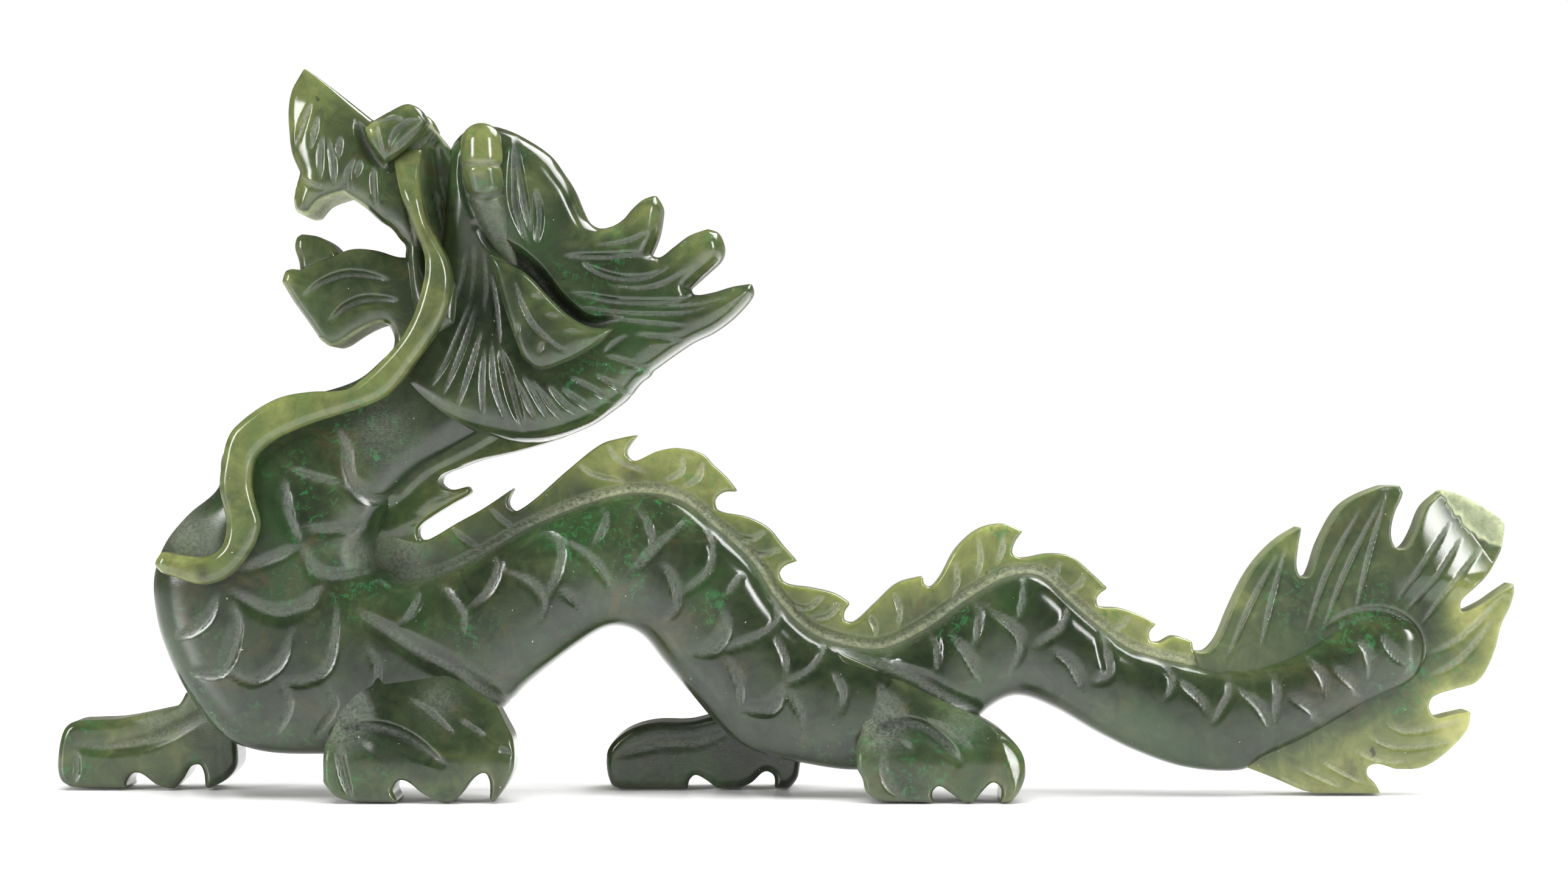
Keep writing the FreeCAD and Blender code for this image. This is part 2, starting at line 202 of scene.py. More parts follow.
def net(field):
    """Mesh of the field's zero surface: points in grid units, quads and outward normals."""
    solid = field < 0
    n = np.array(field.shape) - 1
    count = sum(
        solid[c[0] : n[0] + c[0], c[1] : n[1] + c[1], c[2] : n[2] + c[2]].astype(np.int8) for c in CORNERS
    )
    cells = np.argwhere((count > 0) & (count < 8))
    corner = [field[cells[:, 0] + c[0], cells[:, 1] + c[1], cells[:, 2] + c[2]] for c in CORNERS]
    total = np.zeros((len(cells), 3))
    hits = np.zeros(len(cells))
    for a, b in EDGES:
        fa, fb = corner[a], corner[b]
        cross = (fa < 0) != (fb < 0)
        t = np.where(cross, fa / np.where(cross, fa - fb, 1), 0)
        at = np.array(CORNERS[a])[None] + t[:, None] * (np.array(CORNERS[b]) - np.array(CORNERS[a]))[None]
        total += at * cross[:, None]
        hits += cross
    points = cells + total / hits[:, None]
    number = np.full(n, -1)
    number[cells[:, 0], cells[:, 1], cells[:, 2]] = np.arange(len(cells))
    quads = []
    for axis in range(3):
        u, v = (axis + 1) % 3, (axis + 2) % 3
        a = np.take(solid, range(0, n[axis]), axis=axis)
        b = np.take(solid, range(1, n[axis] + 1), axis=axis)
        edges = np.argwhere(a != b)
        keep = (edges[:, u] > 0) & (edges[:, v] > 0) & (edges[:, u] < n[u]) & (edges[:, v] < n[v])
        edges = edges[keep]
        flip = a[edges[:, 0], edges[:, 1], edges[:, 2]]
        ring = []
        for du, dv in ((1, 1), (0, 1), (0, 0), (1, 0)):
            c = edges.copy()
            c[:, u] -= du
            c[:, v] -= dv
            ring.append(number[c[:, 0], c[:, 1], c[:, 2]])
        quad = np.stack(ring, axis=1)
        quad[~flip] = quad[~flip][:, ::-1]
        quads.append(quad)
    for _ in range(2):
        g = slope(field, points)
        move = -(sample(field, points) / (np.sum(g * g, axis=1) + 1e-6))[:, None] * g
        points = points + np.clip(move, -0.35, 0.35)
    normal = slope(field, points, 0.8)
    normal /= np.linalg.norm(normal, axis=1)[:, None] + 1e-9
    return points, np.vstack(quads), normal


# ---------------- pieces


def piece(name, nodes, box, step, build):
    """Carves one piece. build(X, Z, Y) gives the field and the flat maps of the four attributes."""
    x0, x1, y0, y1, z0, z1 = box
    xs = np.arange(x0 - 2 * step, x1 + 2 * step, step)
    zs = np.arange(z0 - 2 * step, z1 + 2 * step, step)
    ys = np.arange(y0 - 2 * step, y1 + 2 * step, step)
    X, Z = np.meshgrid(xs, zs, indexing="ij")
    field, maps = build(X, Z, ys[None, None, :])
    points, quads, normal = net(field)
    mesh = bpy.data.meshes.new(name)
    place = np.array([xs[0], ys[0], zs[0]]) + points[:, [0, 2, 1]] * step
    quads = quads[:, ::-1]  # the grid's axes run X, Z, Y
    mesh.from_pydata((place * MM).tolist(), [], quads.tolist())
    mesh.polygons.foreach_set("use_smooth", np.ones(len(mesh.polygons), bool))
    flat = np.stack([points[:, 0], points[:, 1], np.zeros(len(points))], axis=1)
    for key in ("cut", "painted_glow", "raw", "deep"):
        values = np.broadcast_to(maps.get(key, 0.0), X.shape)
        layer = mesh.attributes.new(key, "FLOAT", "POINT")
        deep_map = np.repeat(values[:, :, None], 2, axis=2)
        layer.data.foreach_set("value", np.clip(sample(deep_map, flat), 0, 1))
    mesh.normals_split_custom_set_from_vertices(normal[:, [0, 2, 1]].tolist())
    mesh.update()
    o = bpy.data.objects.new(name, mesh)
    bpy.context.scene.collection.objects.link(o)
    o.data.materials.append(jade)
    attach(o, "root")
    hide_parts(*nodes)
    print(f"carved {name}: {len(quads)} faces")
    return o


def rimmed(d, y, middle, half, r):
    """A plate's field: d inside its outline, half thickness half, rims rounded by r."""
    a = (r - d)[:, :, None]
    b = np.abs(y - middle[:, :, None]) - (half - r)[:, :, None]
    return np.hypot(np.maximum(a, 0), np.maximum(b, 0)) + np.minimum(np.maximum(a, b), 0) - r


def domed(d, top, rim, width):
    """Half thickness that swells from rim at the outline to top at the given distance inside."""
    t = np.clip(d / width, 0, 1)
    return rim + (top - rim) * np.sqrt(np.clip(1 - (1 - t) ** 2, 0, 1))


def spots(X, Z, places):
    """Soft round patches: x, z, radius, amount."""
    total = np.zeros(X.shape)
    for x, z, radius, amount in places:
        total += amount * np.exp(-((X - x) ** 2 + (Z - z) ** 2) / radius**2)
    return total


def slab(name, slot, runs, y_low, y_high, *, nodes=None, r=0.8, swell=None, strokes=(), painted_glow=0.3,
         rim_glow=0.3, glow=(), raw=None, deep=(), dull=None, step=STEP, face=None, spare=0.0, mirror=False):
    """A carved plate between two depths, which stands for the node of its own name or for nodes. swell is
    (rim half thickness, width) for a domed face, face(X, Z) gives its two side faces, glow lists soft patches
    of painted light and deep soft patches of painted shade, the stone's painted light is a number or a
    function of
    X and Z with more of it along the rims, dull(X, Z) is extra frosting, spare widens the carving block, and
    a mirror piece on the far side has the outline of its twin on the near side."""
    near = -y_high if mirror else y_low
    rim = near + (y_high - y_low) / 2 - swell[0] + r if swell else near + r
    ring = outline([sighted(run, rim) for run in runs])
    cuts = [(sighted(p, 0.9 * near), w, depth, lean) for p, w, depth, lean in strokes]

    def build(X, Z, y):
        d = depth_in(X, Z, ring)
        low, high = face(X, Z) if face else (np.full(X.shape, y_low), np.full(X.shape, y_high))
        middle, top = (low + high) / 2, (high - low) / 2
        half = domed(d, top, *swell) if swell else top
        carved, frost = engrave(X, Z, cuts)
        maps = {
            "cut": frost + (dull(X, Z) if dull else 0.0),
            # painted light: a lighter colour where light would come through the stone, more at the rims and
            # in the glow patches
            "painted_glow": (painted_glow(X, Z) if callable(painted_glow) else painted_glow)
            + rim_glow * np.exp(-np.clip(d, 0, 99) / 1.6)
            + spots(X, Z, glow),
            "raw": raw(X, Z, d) if raw else 0.0,
            # painted shade: darker in the deeper carved lines and in the listed dark patches
            "deep": np.clip(carved / 1.6 - 0.35, 0, 0.8) + spots(X, Z, deep),
        }
        return rimmed(d, y, middle, np.maximum(half - carved, 0.3), r), maps

    lo, hi = ring.min(0) - 1, ring.max(0) + 1
    box = (lo[0], hi[0], y_low - spare, y_high + spare, lo[1], hi[1])
    return piece(name, nodes or [name], box, step, build)


def lines(width, deep, lean, *several):
    """Carved lines that share a width, depth and lean."""
    return [(points, width, deep, lean) for points in several]


# ---------------- the stone


class Nodes:
    """A short way to write a material's node tree."""

    def __init__(self, tree):
        self.tree = tree

    def add(self, kind, **sockets):
        node = self.tree.nodes.new(kind)
        for key in [k for k in sockets if k.startswith("set_")]:
            setattr(node, key[4:], sockets.pop(key))
        for key, value in sockets.items():
            self.put(node, key, value)
        return node

    def put(self, node, key, value):
        numbered = key.startswith("in") and key[2:].isdigit()
        socket = node.inputs[int(key[2:]) if numbered else key.replace("_", " ")]
        if isinstance(value, bpy.types.NodeSocket):
            self.tree.links.new(value, socket)
        else:
            socket.default_value = value

    def math(self, operation, a, b=0.0, c=0.0, clamp=False):
        given = dict(set_operation=operation, set_use_clamp=clamp, in0=a, in1=b, in2=c)
        return self.add("ShaderNodeMath", **given).outputs[0]

    def noise(self, at, scale, detail=3.0, rough=0.55, warp=0.0):
        given = dict(Vector=at, Scale=scale, Detail=detail, Roughness=rough, Distortion=warp)
        return self.add("ShaderNodeTexNoise", **given).outputs["Fac"]

    def step(self, value, low, high):
        node = self.add("ShaderNodeMapRange", set_interpolation_type="SMOOTHSTEP", Value=value)
        self.put(node, "From Min", low)
        self.put(node, "From Max", high)
        return node.outputs[0]

    def ramp(self, value, *stops):
        node = self.add("ShaderNodeValToRGB", Fac=value)
        points = node.color_ramp.elements
        while len(points) < len(stops):
            points.new(0.5)
        for point, (at, colour) in zip(points, stops):
            point.position = at
            point.color = (*colour, 1)
        return node.outputs["Color"]

    def mix(self, factor, a, b, kind="MIX"):
        node = self.add("ShaderNodeMix", set_data_type="RGBA", set_blend_type=kind)
        for key, value in ((0, factor), (6, a), (7, b)):
            if isinstance(value, bpy.types.NodeSocket):
                self.tree.links.new(value, node.inputs[key])
            elif key == 0:
                node.inputs[key].default_value = value
            else:
                node.inputs[key].default_value = (*value, 1)
        return node.outputs[2]

    def attribute(self, name):
        node = self.add("ShaderNodeAttribute", set_attribute_name=name)
        return node.outputs["Fac"]


# emerald clouds: centre and reach, in millimetres
VEINS = [((78, -4, 25), 10), ((69, -3, 27), 6), ((-25, -8, 57), 8), ((-30, -9, 38), 6)]


def make_jade():
    """Nephrite: dark green, lightened to yellow-green by painted light where light would come through the
    stone, darkened by painted shade in the hollows, and frosted in the carved lines.
    """
    m = bpy.data.materials.new("nephrite")
    m.use_nodes = True
    n = Nodes(m.node_tree)
    m.node_tree.nodes.clear()
    place = n.add("ShaderNodeTexCoord").outputs["Object"]
    at = n.add("ShaderNodeMapping", Vector=place, Scale=(1000, 1000, 1000)).outputs[0]
    cut, painted_glow, raw, deep = (n.attribute(k) for k in ("cut", "painted_glow", "raw", "deep"))

    clouds = n.noise(at, 0.075, 4.0, 0.6, 0.8)
    mottle = n.noise(at, 0.26, 5.0, 0.65, 1.4)
    grain = n.noise(at, 1.3, 4.0, 0.6)
    # painted light: the painted glow attribute shifts the stone's random clouds of colour lighter and
    # yellower
    light = n.math("MULTIPLY_ADD", n.math("SUBTRACT", clouds, 0.5), 0.75, painted_glow)
    light = n.math("MULTIPLY_ADD", n.math("SUBTRACT", mottle, 0.5), 0.50, light, clamp=True)
    stone = n.ramp(
        light,
        (0.0, (0.009, 0.014, 0.007)),
        (0.20, (0.021, 0.031, 0.014)),
        (0.42, (0.050, 0.066, 0.026)),
        (0.68, (0.128, 0.143, 0.048)),
        (1.0, (0.275, 0.275, 0.105)),
    )
    vivid = n.step(n.noise(at, 0.065, 3.0, 0.55, 0.5), 0.50, 0.68)
    stone = n.mix(n.math("MULTIPLY", vivid, 0.34), stone, (0.020, 0.062, 0.016))
    brown = n.math("MULTIPLY", n.step(n.noise(at, 0.11, 4.0, 0.65, 1.0), 0.55, 0.72), 0.5)
    stone = n.mix(brown, stone, (0.050, 0.042, 0.016))
    patch = n.step(n.noise(at, 0.075, 2.0), 0.52, 0.66)
    for vein, reach in VEINS:
        near = n.add("ShaderNodeVectorMath", set_operation="DISTANCE", in0=at, in1=vein).outputs["Value"]
        patch = n.math("MAXIMUM", patch, n.step(near, reach, 0.3 * reach))
    fleck = n.math("MULTIPLY", n.step(n.noise(at, 0.75, 5.0, 0.75, 1.0), 0.52, 0.64), patch)
    stone = n.mix(n.math("MULTIPLY", fleck, 0.65), stone, (0.022, 0.122, 0.038))
    spot = n.step(n.noise(at, 0.42, 2.0), 0.735, 0.77)
    stone = n.mix(n.math("MULTIPLY", spot, 0.7), stone, (0.012, 0.012, 0.010))
    # painted shade: the deep attribute darkens the colour towards black in hollows and carved lines
    stone = n.mix(n.math("MULTIPLY", deep, 0.85, clamp=True), stone, (0.006, 0.008, 0.006))

    dust = n.math("MULTIPLY", cut, n.step(n.noise(at, 2.2, 4.0, 0.7), 0.25, 0.7))
    # the frosted lines are grey-green dust, made lighter where painted light is given
    frost = n.mix(n.step(painted_glow, 0.30, 0.62), (0.150, 0.172, 0.132), (0.44, 0.47, 0.33))
    stone = n.mix(n.math("MULTIPLY", dust, 0.62), stone, frost)
    speck = n.step(n.noise(at, 1.9, 1.0), 0.80, 0.83)
    stone = n.mix(n.math("MULTIPLY", speck, 0.7), stone, (0.45, 0.50, 0.40))
    chalk = n.ramp(n.noise(at, 0.8, 5.0, 0.7), (0.3, (0.15, 0.19, 0.09)), (0.7, (0.40, 0.42, 0.27)))
    stone = n.mix(n.step(raw, 0.15, 0.75), stone, chalk)

    rough = n.math("MULTIPLY_ADD", grain, 0.10, 0.09)
    rough = n.math("MULTIPLY_ADD", cut, 0.34, rough)
    rough = n.math("MULTIPLY_ADD", deep, 0.30, rough)
    rough = n.math("MULTIPLY_ADD", raw, 0.55, rough, clamp=True)
    tool = n.noise(n.add("ShaderNodeMapping", Vector=at, Scale=(1.0, 1.0, 3.2)).outputs[0], 1.6, 5.0, 0.7)
    relief = n.math("MULTIPLY_ADD", raw, 1.6, 0.035)
    height = n.math("MULTIPLY", tool, n.math("MULTIPLY_ADD", cut, 0.9, relief))
    bump = n.add("ShaderNodeBump", Height=height, Strength=0.55, Distance=0.00045).outputs[0]
    shader = n.add("ShaderNodeBsdfPrincipled", Roughness=rough, Normal=bump)
    n.put(shader, "Base Color", stone)
    shader.inputs["IOR"].default_value = 1.52
    shader.inputs["Subsurface Weight"].default_value = 0.35
    shader.inputs["Subsurface Radius"].default_value = (0.55, 1.0, 0.25)
    shader.inputs["Subsurface Scale"].default_value = 0.0022
    out = n.add("ShaderNodeOutputMaterial")
    m.node_tree.links.new(shader.outputs[0], out.inputs["Surface"])
    return m


jade = make_jade()

# ---------------- body: neck, chest, trunk and tail

BACK = [
    [(-36.0, 51.5), (-40.0, 48.8), (-44.7, 46.2), (-49.0, 43.8), (-52.2, 40.6), (-54.4, 36.8), (-55.8, 33.8),
     (-55.2, 31.2)],
    [(-52.0, 29.8), (-47.3, 30.5), (-42.0, 32.9), (-35.8, 36.5), (-28.0, 39.9), (-20.4, 41.8), (-14.0, 40.8),
     (-8.9, 36.8), (-3.9, 32.2), (-0.4, 26.9), (4.2, 22.5), (9.8, 20.7), (14.0, 20.7), (19.7, 23.6),
     (25.0, 27.4), (30.6, 30.4), (35.2, 30.4), (39.8, 26.4), (44.4, 22.5), (48.0, 20.2), (55.9, 18.2),
     (62.3, 17.2), (69.4, 19.4), (76.6, 24.1), (79.7, 25.1), (82.9, 24.9), (85.4, 24.0), (87.2, 22.6),
     (88.1, 20.4)],
]
BELLY = [
    (-50.0, 63.0), (-54.0, 60.0), (-57.6, 56.9), (-62.0, 55.2), (-68.8, 53.6), (-74.4, 49.5), (-76.4, 46.0),
    (-76.8, 42.0), (-80.9, 38.3), (-84.0, 34.4), (-85.5, 29.9), (-85.3, 25.5), (-84.2, 20.8), (-81.1, 14.2),
    (-75.9, 8.0), (-70.7, 6.0), (-63.1, 5.6), (-55.0, 5.8), (-46.0, 8.0), (-38.9, 11.3), (-34.6, 15.4),
    (-27.0, 21.2), (-23.2, 23.0), (-19.7, 22.0), (-16.5, 18.3), (-12.1, 13.1), (-8.0, 8.6), (-4.4, 6.2),
    (2.3, 4.4), (10.0, 3.4), (17.0, 4.4), (23.0, 7.0), (28.0, 11.9), (31.7, 13.5), (36.6, 11.9), (42.4, 8.6),
    (48.0, 5.9), (54.7, 3.7), (62.3, 3.3), (65.4, 5.1), (70.2, 7.2), (75.0, 9.6), (79.7, 12.0), (83.2, 13.7),
    (86.2, 15.4), (87.8, 17.6), (88.1, 20.4),
]
SCALES = lines(
    1.35, 0.55, -0.7,
    [(-67.8, 44.5), (-64.3, 43.1), (-59.5, 42.1)],
    [(-65.6, 36.4), (-62.4, 35.9), (-57.2, 36.7)],
    [(-65.6, 34.1), (-73.9, 30.6)],
    [(-77.3, 27.0), (-79.2, 23.7), (-83.3, 21.3)],
    [(-67.1, 22.2), (-68.8, 18.0), (-72.6, 15.6), (-76.1, 17.0)],
    [(-61.2, 26.5), (-61.2, 22.2), (-62.6, 17.0), (-65.9, 15.4), (-69.0, 15.6)],
    [(-56.9, 19.9), (-55.5, 17.0), (-56.5, 12.8), (-60.0, 11.0)],
    [(-68.8, 15.6), (-67.6, 12.3), (-70.2, 7.5)],
    [(-62.4, 15.1), (-61.4, 12.3), (-64.5, 7.5)],
    [(-50.7, 28.7), (-50.2, 26.7), (-51.5, 24.2), (-53.0, 23.0)],
    [(-40.2, 32.9), (-39.3, 31.4), (-40.5, 27.8), (-43.0, 25.3)],
    [(-34.0, 36.1), (-30.8, 34.3), (-30.8, 30.7), (-32.6, 26.4)],
    [(-25.1, 39.3), (-24.4, 37.9), (-26.2, 33.6)],
    [(-20.8, 39.7), (-18.6, 36.8), (-18.1, 33.6), (-19.7, 31.4)],
    [(-10.7, 36.8), (-9.6, 32.9), (-10.7, 30.0), (-14.3, 27.1)],
    [(-16.8, 31.4), (-15.4, 29.3), (-14.7, 26.0), (-16.4, 23.3)],
    [(-2.0, 27.8), (-0.8, 24.3), (-2.7, 22.0), (-8.7, 19.5)],
    [(5.3, 21.4), (5.3, 19.2), (3.1, 16.6), (-0.1, 15.0)],
    [(6.6, 16.9), (8.0, 14.0), (7.7, 10.9)],
    [(-7.8, 18.5), (-6.2, 14.7), (-6.3, 10.9)],
    [(12.8, 15.3), (13.3, 12.8), (11.7, 8.6)],
    [(19.7, 22.5), (20.9, 20.0), (21.1, 16.5)],
    [(14.6, 21.4), (14.7, 19.7), (14.0, 17.9)],
    [(25.7, 27.1), (26.7, 24.6), (26.0, 19.7)],
    [(26.7, 26.4), (29.6, 23.9), (32.0, 21.8), (32.4, 19.7), (30.6, 15.4)],
    [(33.1, 30.3), (32.9, 27.1), (32.0, 23.6)],
    [(22.5, 22.1), (25.0, 19.0), (27.4, 14.7)],
    [(37.0, 19.3), (39.4, 17.6), (41.2, 13.7)],
    [(51.9, 18.6), (53.3, 15.4), (52.3, 13.0)],
    [(61.1, 16.6), (61.1, 13.8), (58.7, 9.6)],
)
FACETS = lines(
    2.3, 0.75, 0.7,
    [(-61.1, 49.8), (-59.8, 47.3), (-59.0, 42.8), (-56.0, 40.5), (-53.0, 41.0)],
    [(-68.1, 42.8), (-67.5, 38.0), (-65.9, 34.4)],
    [(-65.6, 33.8), (-63.6, 30.3), (-59.8, 29.9), (-55.0, 30.9)],
    [(-75.0, 25.8), (-74.5, 22.2), (-76.6, 17.0), (-81.1, 16.3)],
    [(-75.2, 27.5), (-69.7, 24.9), (-65.5, 25.8), (-62.6, 28.9)],
    [(-8.1, 24.6), (-7.8, 22.3), (-9.4, 19.8), (-12.6, 19.0)],
    [(0.2, 14.7), (-1.7, 11.5), (-5.9, 11.5)],
    [(43.7, 22.5), (44.4, 19.7), (44.7, 16.2), (42.6, 15.1)],
)
HOOKS = lines(
    1.2, 0.5, 0.6,
    [(-47.0, 28.9), (-44.8, 26.4), (-43.4, 24.3), (-43.6, 21.5)],
    [(-38.4, 30.7), (-34.4, 28.9), (-32.6, 26.4), (-33.4, 22.8)],
    [(-31.9, 35.4), (-28.7, 34.0), (-25.4, 31.4), (-23.6, 28.2), (-24.0, 26.0)],
    [(-30.5, 28.2), (-28.3, 26.4), (-26.9, 24.6)],
    [(-12.9, 37.5), (-16.8, 34.3), (-20.8, 30.0)],
    [(-5.5, 30.0), (-7.9, 27.1)],
    [(-1.4, 22.0), (0.2, 18.8), (0.0, 15.3)],
    [(0.2, 14.7), (2.4, 11.2), (2.7, 8.0)],
    [(38.9, 25.7), (38.0, 22.8), (34.1, 20.0)],
    [(53.5, 16.2), (57.1, 13.0), (58.3, 10.6)],
    [(61.9, 14.8), (65.4, 11.8), (67.0, 8.2)],
    [(66.6, 16.8), (67.8, 14.2), (67.4, 9.0)],
    [(69.4, 13.4), (72.6, 11.4), (74.6, 9.0)],
    [(71.4, 19.0), (74.2, 15.8), (74.6, 12.4)],
    [(75.4, 17.4), (78.6, 14.6), (79.7, 13.0)],
    [(78.6, 21.4), (80.5, 19.0), (80.9, 15.0)],
    [(82.1, 21.8), (84.1, 19.0), (86.1, 17.4)],
)
SEAMS = lines(1.6, 0.8, 0.0, [(-55.0, 36.4), (-56.6, 31.2)], [(-53.1, 35.4), (-53.7, 32.2)]) + lines(
    3.2, 1.0, 0.0, [(-58.5, 25.2), (-53.5, 21.9), (-48.6, 18.9), (-44.0, 16.4), (-37.5, 11.8)],
    [(7.0, 19.9), (11.3, 18.3), (17.9, 15.7), (21.1, 14.0), (26.6, 11.6)],
)
DUSTY = [(-81.5, 37.5, 3.4, 0.9), (-79.5, 34.0, 2.8, 0.7), (-54.0, 49.5, 5.0, 0.35), (-56.8, 33.0, 1.8, 0.9),
         (-40.0, 15.2, 2.4, 0.5)]
# the body's half depth along X
HALF_DEPTH = [(-86, 9.2), (-66, 10.2), (-45, 9.3), (-10, 8.8), (20, 8.6), (42, 7.2), (60, 5.8), (70, 5.0),
              (78, 4.5), (88, 4.0)]


def body_field(X, Z, y):
    """The long body as one flattened tube between the back's line and the belly's."""
    back = np.vstack([smooth(BACK[0])[:-1], smooth([BACK[0][-1]] + BACK[1])])
    belly = smooth(BELLY)
    ring = np.vstack([back, belly[::-1]])
    within = inside(X, Z, ring)
    up = nearest(X, Z, back)[0]
    down = nearest(X, Z, belly)[0]
    above = ~within & (up < down)
    below = ~within & ~above
    up = np.where(above, -up, up)
    down = np.where(below, -down, down)
    high = np.maximum((up + down) / 2, 0.8)
    u = np.abs(down - up) / (2 * high)
    deep = np.interp(X, *zip(*HALF_DEPTH)) - 1.7 * ramp(Z, 34, 56)
    end = np.clip((88.3 - X) / 5.0, 0, 1)
    deep = deep * np.sqrt(np.clip(1 - (1 - end) ** 2, 0.01, 1))
    strokes = [(sighted(p, -8.0), w, d, lean) for p, w, d, lean in SCALES[:-2] + FACETS + SEAMS]
    strokes += [(sighted(p, -6.0), w, d, lean) for p, w, d, lean in SCALES[-2:] + HOOKS]
    carved, frost = engrave(X, Z, strokes)
    ridge = np.clip(1 - nearest(X, Z, smooth(BACK[1]))[0] / 1.2, 0, 1) * (X < 60)
    carved = np.maximum(carved, 0.9 * ridge)
    frost = np.maximum(frost, ridge)
    p = np.interp(X, [-84, -60, 70, 82], [4.4, 3.3, 3.2, 2.3])[:, :, None]
    girth = np.minimum(high, deep)[:, :, None]
    tube = ((u[:, :, None] ** p + np.abs(y / deep[:, :, None]) ** p) ** (1 / p) - 1) * girth
    edge = np.minimum(up, down)
    maps = {
        "cut": frost + spots(X, Z, DUSTY),
        # painted light: lighter near the body's outline and towards the tail
        "painted_glow": 0.13 + 0.16 * np.exp(-np.clip(edge, 0, 99) / 1.0) + 0.10 * ramp(X, 40, 80),
        # painted shade: darker in the deeper carving, along the belly line, in the crease along the neck's
        # back line and in a patch on the chest
        "deep": np.clip(carved / 1.6 - 0.35, 0, 0.8)
        + 0.35 * np.exp(-np.clip(down, 0, 99) / 1.1)
        + 0.45 * np.exp(-nearest(X, Z, smooth(BACK[0]))[0] / 1.0)
        + spots(X, Z, [(-66, 30, 7, 0.16)]),
    }
    edge = np.where(within, edge, -np.abs(edge))
    return np.maximum(tube + carved[:, :, None] * 0.95, -edge[:, :, None]), maps


BODY_NODES = [
    "neck", "chest", "trunk_front", "trunk_arch", "trunk_saddle", "trunk_rear_arch", "tail_root", "tail_tip",
]
piece("dragon_body", BODY_NODES, (-87, 88.5, -10.6, 10.6, 2.5, 64.5), COARSE, body_field)

# ---------------- fins

DORSAL = [
    [(-56.5, 36.5), (-52.0, 35.0), (-50.2, 34.6)],
    [(-48.6, 34.8), (-44.8, 37.0), (-41.2, 39.0), (-36.9, 41.9)],
    [(-37.8, 40.0), (-37.5, 39.0), (-36.7, 38.6), (-34.0, 40.4), (-29.7, 44.2), (-25.1, 47.8), (-22.2, 48.7),
     (-20.0, 49.1)],
    [(-20.9, 48.0), (-21.6, 46.6), (-20.6, 45.5), (-17.5, 46.8), (-15.0, 47.3), (-12.5, 47.0)],
    [(-10.9, 46.3), (-9.8, 45.1), (-7.9, 43.3), (-6.3, 41.3)],
    [(-8.2, 41.2), (-9.4, 40.1), (-9.0, 38.7), (-5.0, 37.8), (-2.1, 36.3), (0.0, 33.8), (1.8, 31.8)],
    [(0.1, 31.1), (-0.6, 30.0), (0.3, 28.7), (3.8, 28.1), (7.0, 27.3), (9.1, 26.0)],
    [(8.3, 24.8), (8.4, 23.6), (9.6, 23.4), (12.5, 26.0), (15.5, 28.7), (19.0, 29.7)],
    [(19.2, 28.7), (20.1, 28.2), (21.5, 29.8), (23.5, 33.4), (26.5, 36.1), (29.9, 36.9), (32.7, 35.9)],
    [(31.6, 34.3), (31.3, 32.8), (32.6, 32.2), (36.3, 32.8), (39.4, 32.4), (42.0, 30.3), (44.3, 28.1)],
    [(42.9, 26.9), (43.1, 25.6), (46.0, 25.3), (49.0, 24.3), (51.0, 23.1)],
    [(50.1, 22.2), (50.2, 20.9), (51.4, 20.6), (53.4, 21.5), (55.9, 20.8)],
    [(56.2, 19.4), (57.5, 18.9)],
    [(57.5, 14.0)],
    [(44.0, 18.0), (37.0, 24.5), (33.0, 26.5), (27.0, 24.0), (18.0, 17.5), (9.0, 16.0), (0.0, 19.5),
     (-6.0, 28.0), (-13.0, 35.5), (-20.0, 37.5), (-30.0, 35.0), (-42.0, 29.0), (-50.0, 26.5), (-56.5, 27.5)],
    [(-56.5, 36.5)],
]
DORSAL_LINES = lines(
    0.9, 0.45, 0.5,
    [(-45.5, 36.3), (-43.5, 34.6), (-41.5, 33.4)],
    [(-40.3, 39.0), (-38.2, 37.0), (-36.2, 36.0)],
    [(-28.4, 45.0), (-25.8, 43.4), (-21.8, 42.7)],
    [(-24.3, 47.9), (-22.7, 45.6), (-19.0, 43.9)],
    [(-13.8, 46.4), (-14.0, 43.9), (-16.4, 42.6)],
    [(-10.9, 45.4), (-11.8, 42.9), (-13.9, 41.7)],
    [(-2.2, 36.0), (-4.6, 34.6), (-8.4, 35.7)],
    [(-0.3, 33.3), (-3.3, 32.5), (-6.0, 33.6)],
    [(5.6, 27.1), (3.2, 25.2), (0.9, 25.8)],
    [(7.9, 25.9), (5.8, 24.0), (3.6, 23.9)],
    [(11.6, 24.4), (12.6, 22.6), (12.5, 21.4)],
    [(15.0, 27.4), (15.9, 25.1), (15.6, 22.4)],
    [(23.4, 31.5), (23.8, 29.2), (23.0, 26.8)],
    [(26.6, 34.8), (27.0, 32.1), (26.3, 29.2)],
    [(30.0, 35.4), (30.0, 33.6), (29.2, 31.2)],
    [(37.9, 31.5), (37.1, 29.9), (35.4, 29.2)],
    [(41.3, 29.8), (40.3, 28.2), (38.3, 27.4)],
    [(47.5, 24.4), (46.4, 22.9), (45.0, 22.4)],
)


def web(thin_half, thick_half):
    """Two side faces of a web that thickens where it grows out of the neck."""

    def face(X, Z):
        d, _, side = nearest(X, Z, smooth(BACK[0]))
        root = np.exp(-((d * (side > 0) / 2.6) ** 2)) * ramp(Z, 35, 41)
        half = thin_half + (thick_half - thin_half) * root
        return -half, half

    return face


def dusty_root(X, Z):
    """A band of dust along the fins' root, widest in the corner below the neck."""
    d = nearest(X, Z, smooth(BACK[1][:-7]))[0]
    return 0.8 * np.clip(1.5 - d / 0.7, 0, 1) + spots(X, Z, [(-52.5, 33.0, 3.2, 0.9)])


